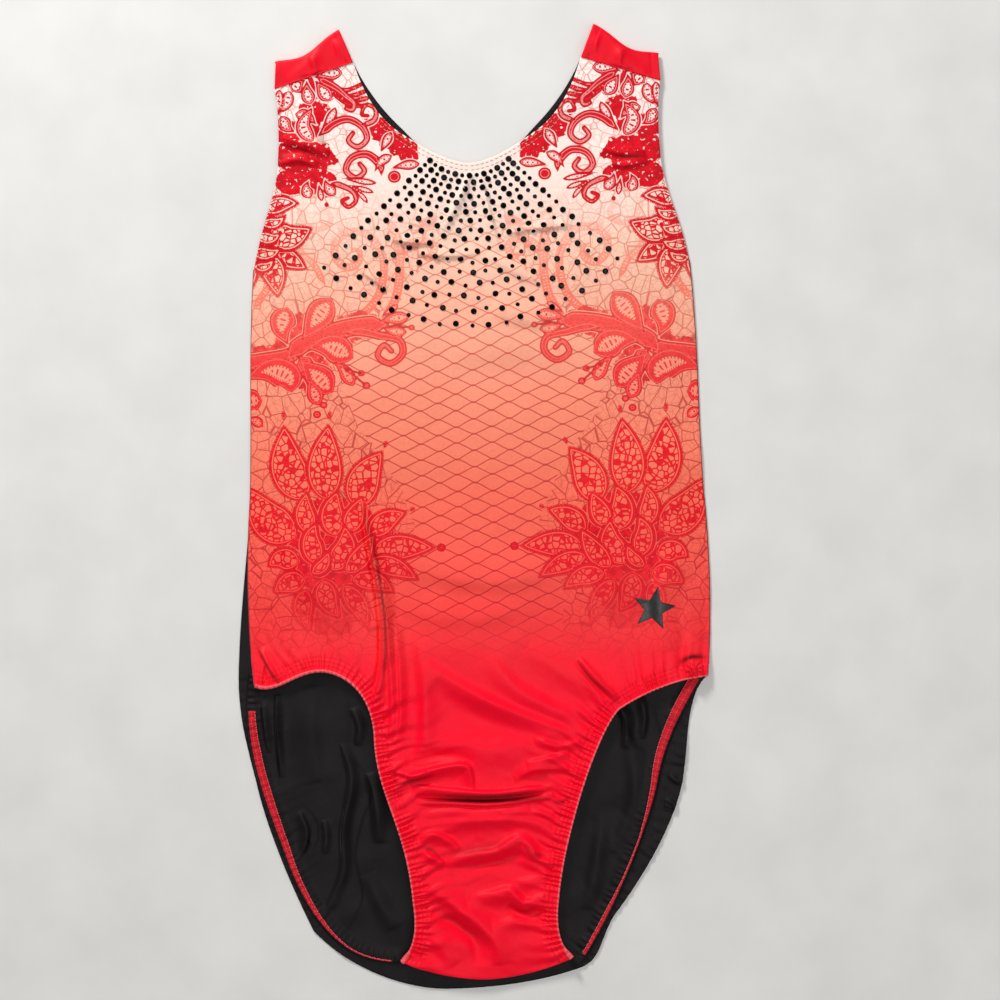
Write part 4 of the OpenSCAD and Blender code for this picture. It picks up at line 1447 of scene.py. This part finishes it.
def crystals():
    for node, height in (("large_crystals", 1.35), ("small_crystals", 1.0)):
        stones = islands(node)
        points, normals = on_surface(front_height, stones[:, :2], -0.12)
        rng = np.random.default_rng(5)
        parts = []
        for at, normal, radius in zip(points, normals, stones[:, 2]):
            shape, faces = gem(radius, height)
            spin = rng.uniform(0, np.pi)
            side = np.cross(normal, [math.cos(spin), math.sin(spin), 0])
            side /= np.linalg.norm(side)
            axes = np.stack([side, np.cross(normal, side), normal])
            parts.append((shape @ axes + at, faces))
        points, faces = merged(parts)
        piece = new_mesh(node + "_cut", points, faces, GLASS, smooth=False)
        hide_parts(node)


def hip_emblem():
    """A plain five-pointed star, pressed onto the cloth."""
    box = [np.array(c) * 1000 - [MIDDLE, RISE, 0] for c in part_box("hip_emblem")]
    centre = ((box[0] + box[1]) / 2)[:2]
    radius = (box[1] - box[0])[1] / 2 * 1.02
    tilt = math.radians(12)
    turn = np.arange(10) * math.pi / 5 + tilt
    reach = radius * np.where(np.arange(10) % 2 == 0, 1, 0.42)
    star = centre + np.column_stack([np.sin(turn), np.cos(turn)]) * reach[:, None]
    star = np.vstack([star, star[:1]])
    points, faces = fill_outline([evenly(star[i:i + 2], 0.8) for i in range(10)], 0.8)
    faces = upward(points, faces)
    top, _ = on_surface(front_height, points, 0.16)
    solid, faces = rolled_edge(top, faces, 0.2, 0.14)
    piece = new_mesh("hip_star_print", solid, faces, VINYL)
    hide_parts("hip_emblem")


# ---------------------------------------------------------------- floor, light and camera
FLOOR_SIZE = 6.4


def floor():
    bpy.ops.mesh.primitive_plane_add(size=FLOOR_SIZE, location=(0, 0, 0))
    plane = bpy.context.object
    plane.name = "floor"
    plane.data.materials.append(pale_floor())


def area_light(name, place_at, size, power):
    data = bpy.data.lights.new(name, "AREA")
    data.size = size
    data.energy = power
    light = bpy.data.objects.new(name, data)
    light.location = place_at
    light.rotation_euler = (-Vector(place_at)).to_track_quat("-Z", "Y").to_euler()
    bpy.context.scene.collection.objects.link(light)


def lights():
    bpy.context.scene.view_settings.view_transform = "Standard"
    area_light("key", (-0.6, 1.45, 0.95), 0.35, 25)
    area_light("fill", (0.9, -0.9, 1.5), 1.2, 4)
    area_light("top", (0.1, -0.1, 2.2), 1.0, 14)
    world = bpy.data.worlds.new("studio")
    world.use_nodes = True
    world.node_tree.nodes["Background"].inputs["Color"].default_value = (0.9, 0.92, 0.95, 1)
    world.node_tree.nodes["Background"].inputs["Strength"].default_value = 0.28
    bpy.context.scene.world = world


FRAME_WIDTH = 0.65          # metres across the picture at the garment's plane
VIEW_CENTRE = (15.0, 5.0)   # garment millimetres at the picture's centre
ROLL = math.radians(-1.29)  # the garment leans a little to the left
DISTANCE = 1.5


def camera():
    data = bpy.data.cameras.new("camera")
    data.sensor_width = 36
    data.lens = 36 * DISTANCE / FRAME_WIDTH
    cam = bpy.data.objects.new("camera", data)
    target = place([[*VIEW_CENTRE, 4.0]])[0]
    cam.location = (target[0], target[1], DISTANCE)
    cam.rotation_euler = (0, 0, ROLL)
    bpy.context.scene.collection.objects.link(cam)
    bpy.context.scene.camera = cam


RED_SATIN = red_satin()
SEAM_RED = plain_knit("seam_red", "#a80c20", "#7c0a18")
LINING = plain_knit("lining_knit", "#d4283a", "#c02032")
ELASTIC = plain_knit("woven_elastic", "#e4dcd2", "#d2c8bc")
PALE_THREAD = thread("pale_thread", "#e6a890", "#d88c74")
DARK_THREAD = thread("dark_thread", "#2a2321", "#3a302d")
RED_THREAD = thread("red_thread", "#cc0a20", "#e01830")
LEG_THREAD = thread("leg_thread", "#ff6a70", "#f04a56")
HEM_THREAD = thread("hem_thread", "#b80414", "#d8142a")
GLASS = black_glass()
VINYL = transfer_vinyl()

floor()
lights()
camera()
back_panel()
front_panel()
yoke("left_shoulder_yoke_fabric", -1, "left_shoulder_yoke")
yoke("right_shoulder_yoke_fabric", 1, "right_shoulder_yoke")
elastics()
seams()
gusset_lining()
topstitching()
crystals()
hip_emblem()
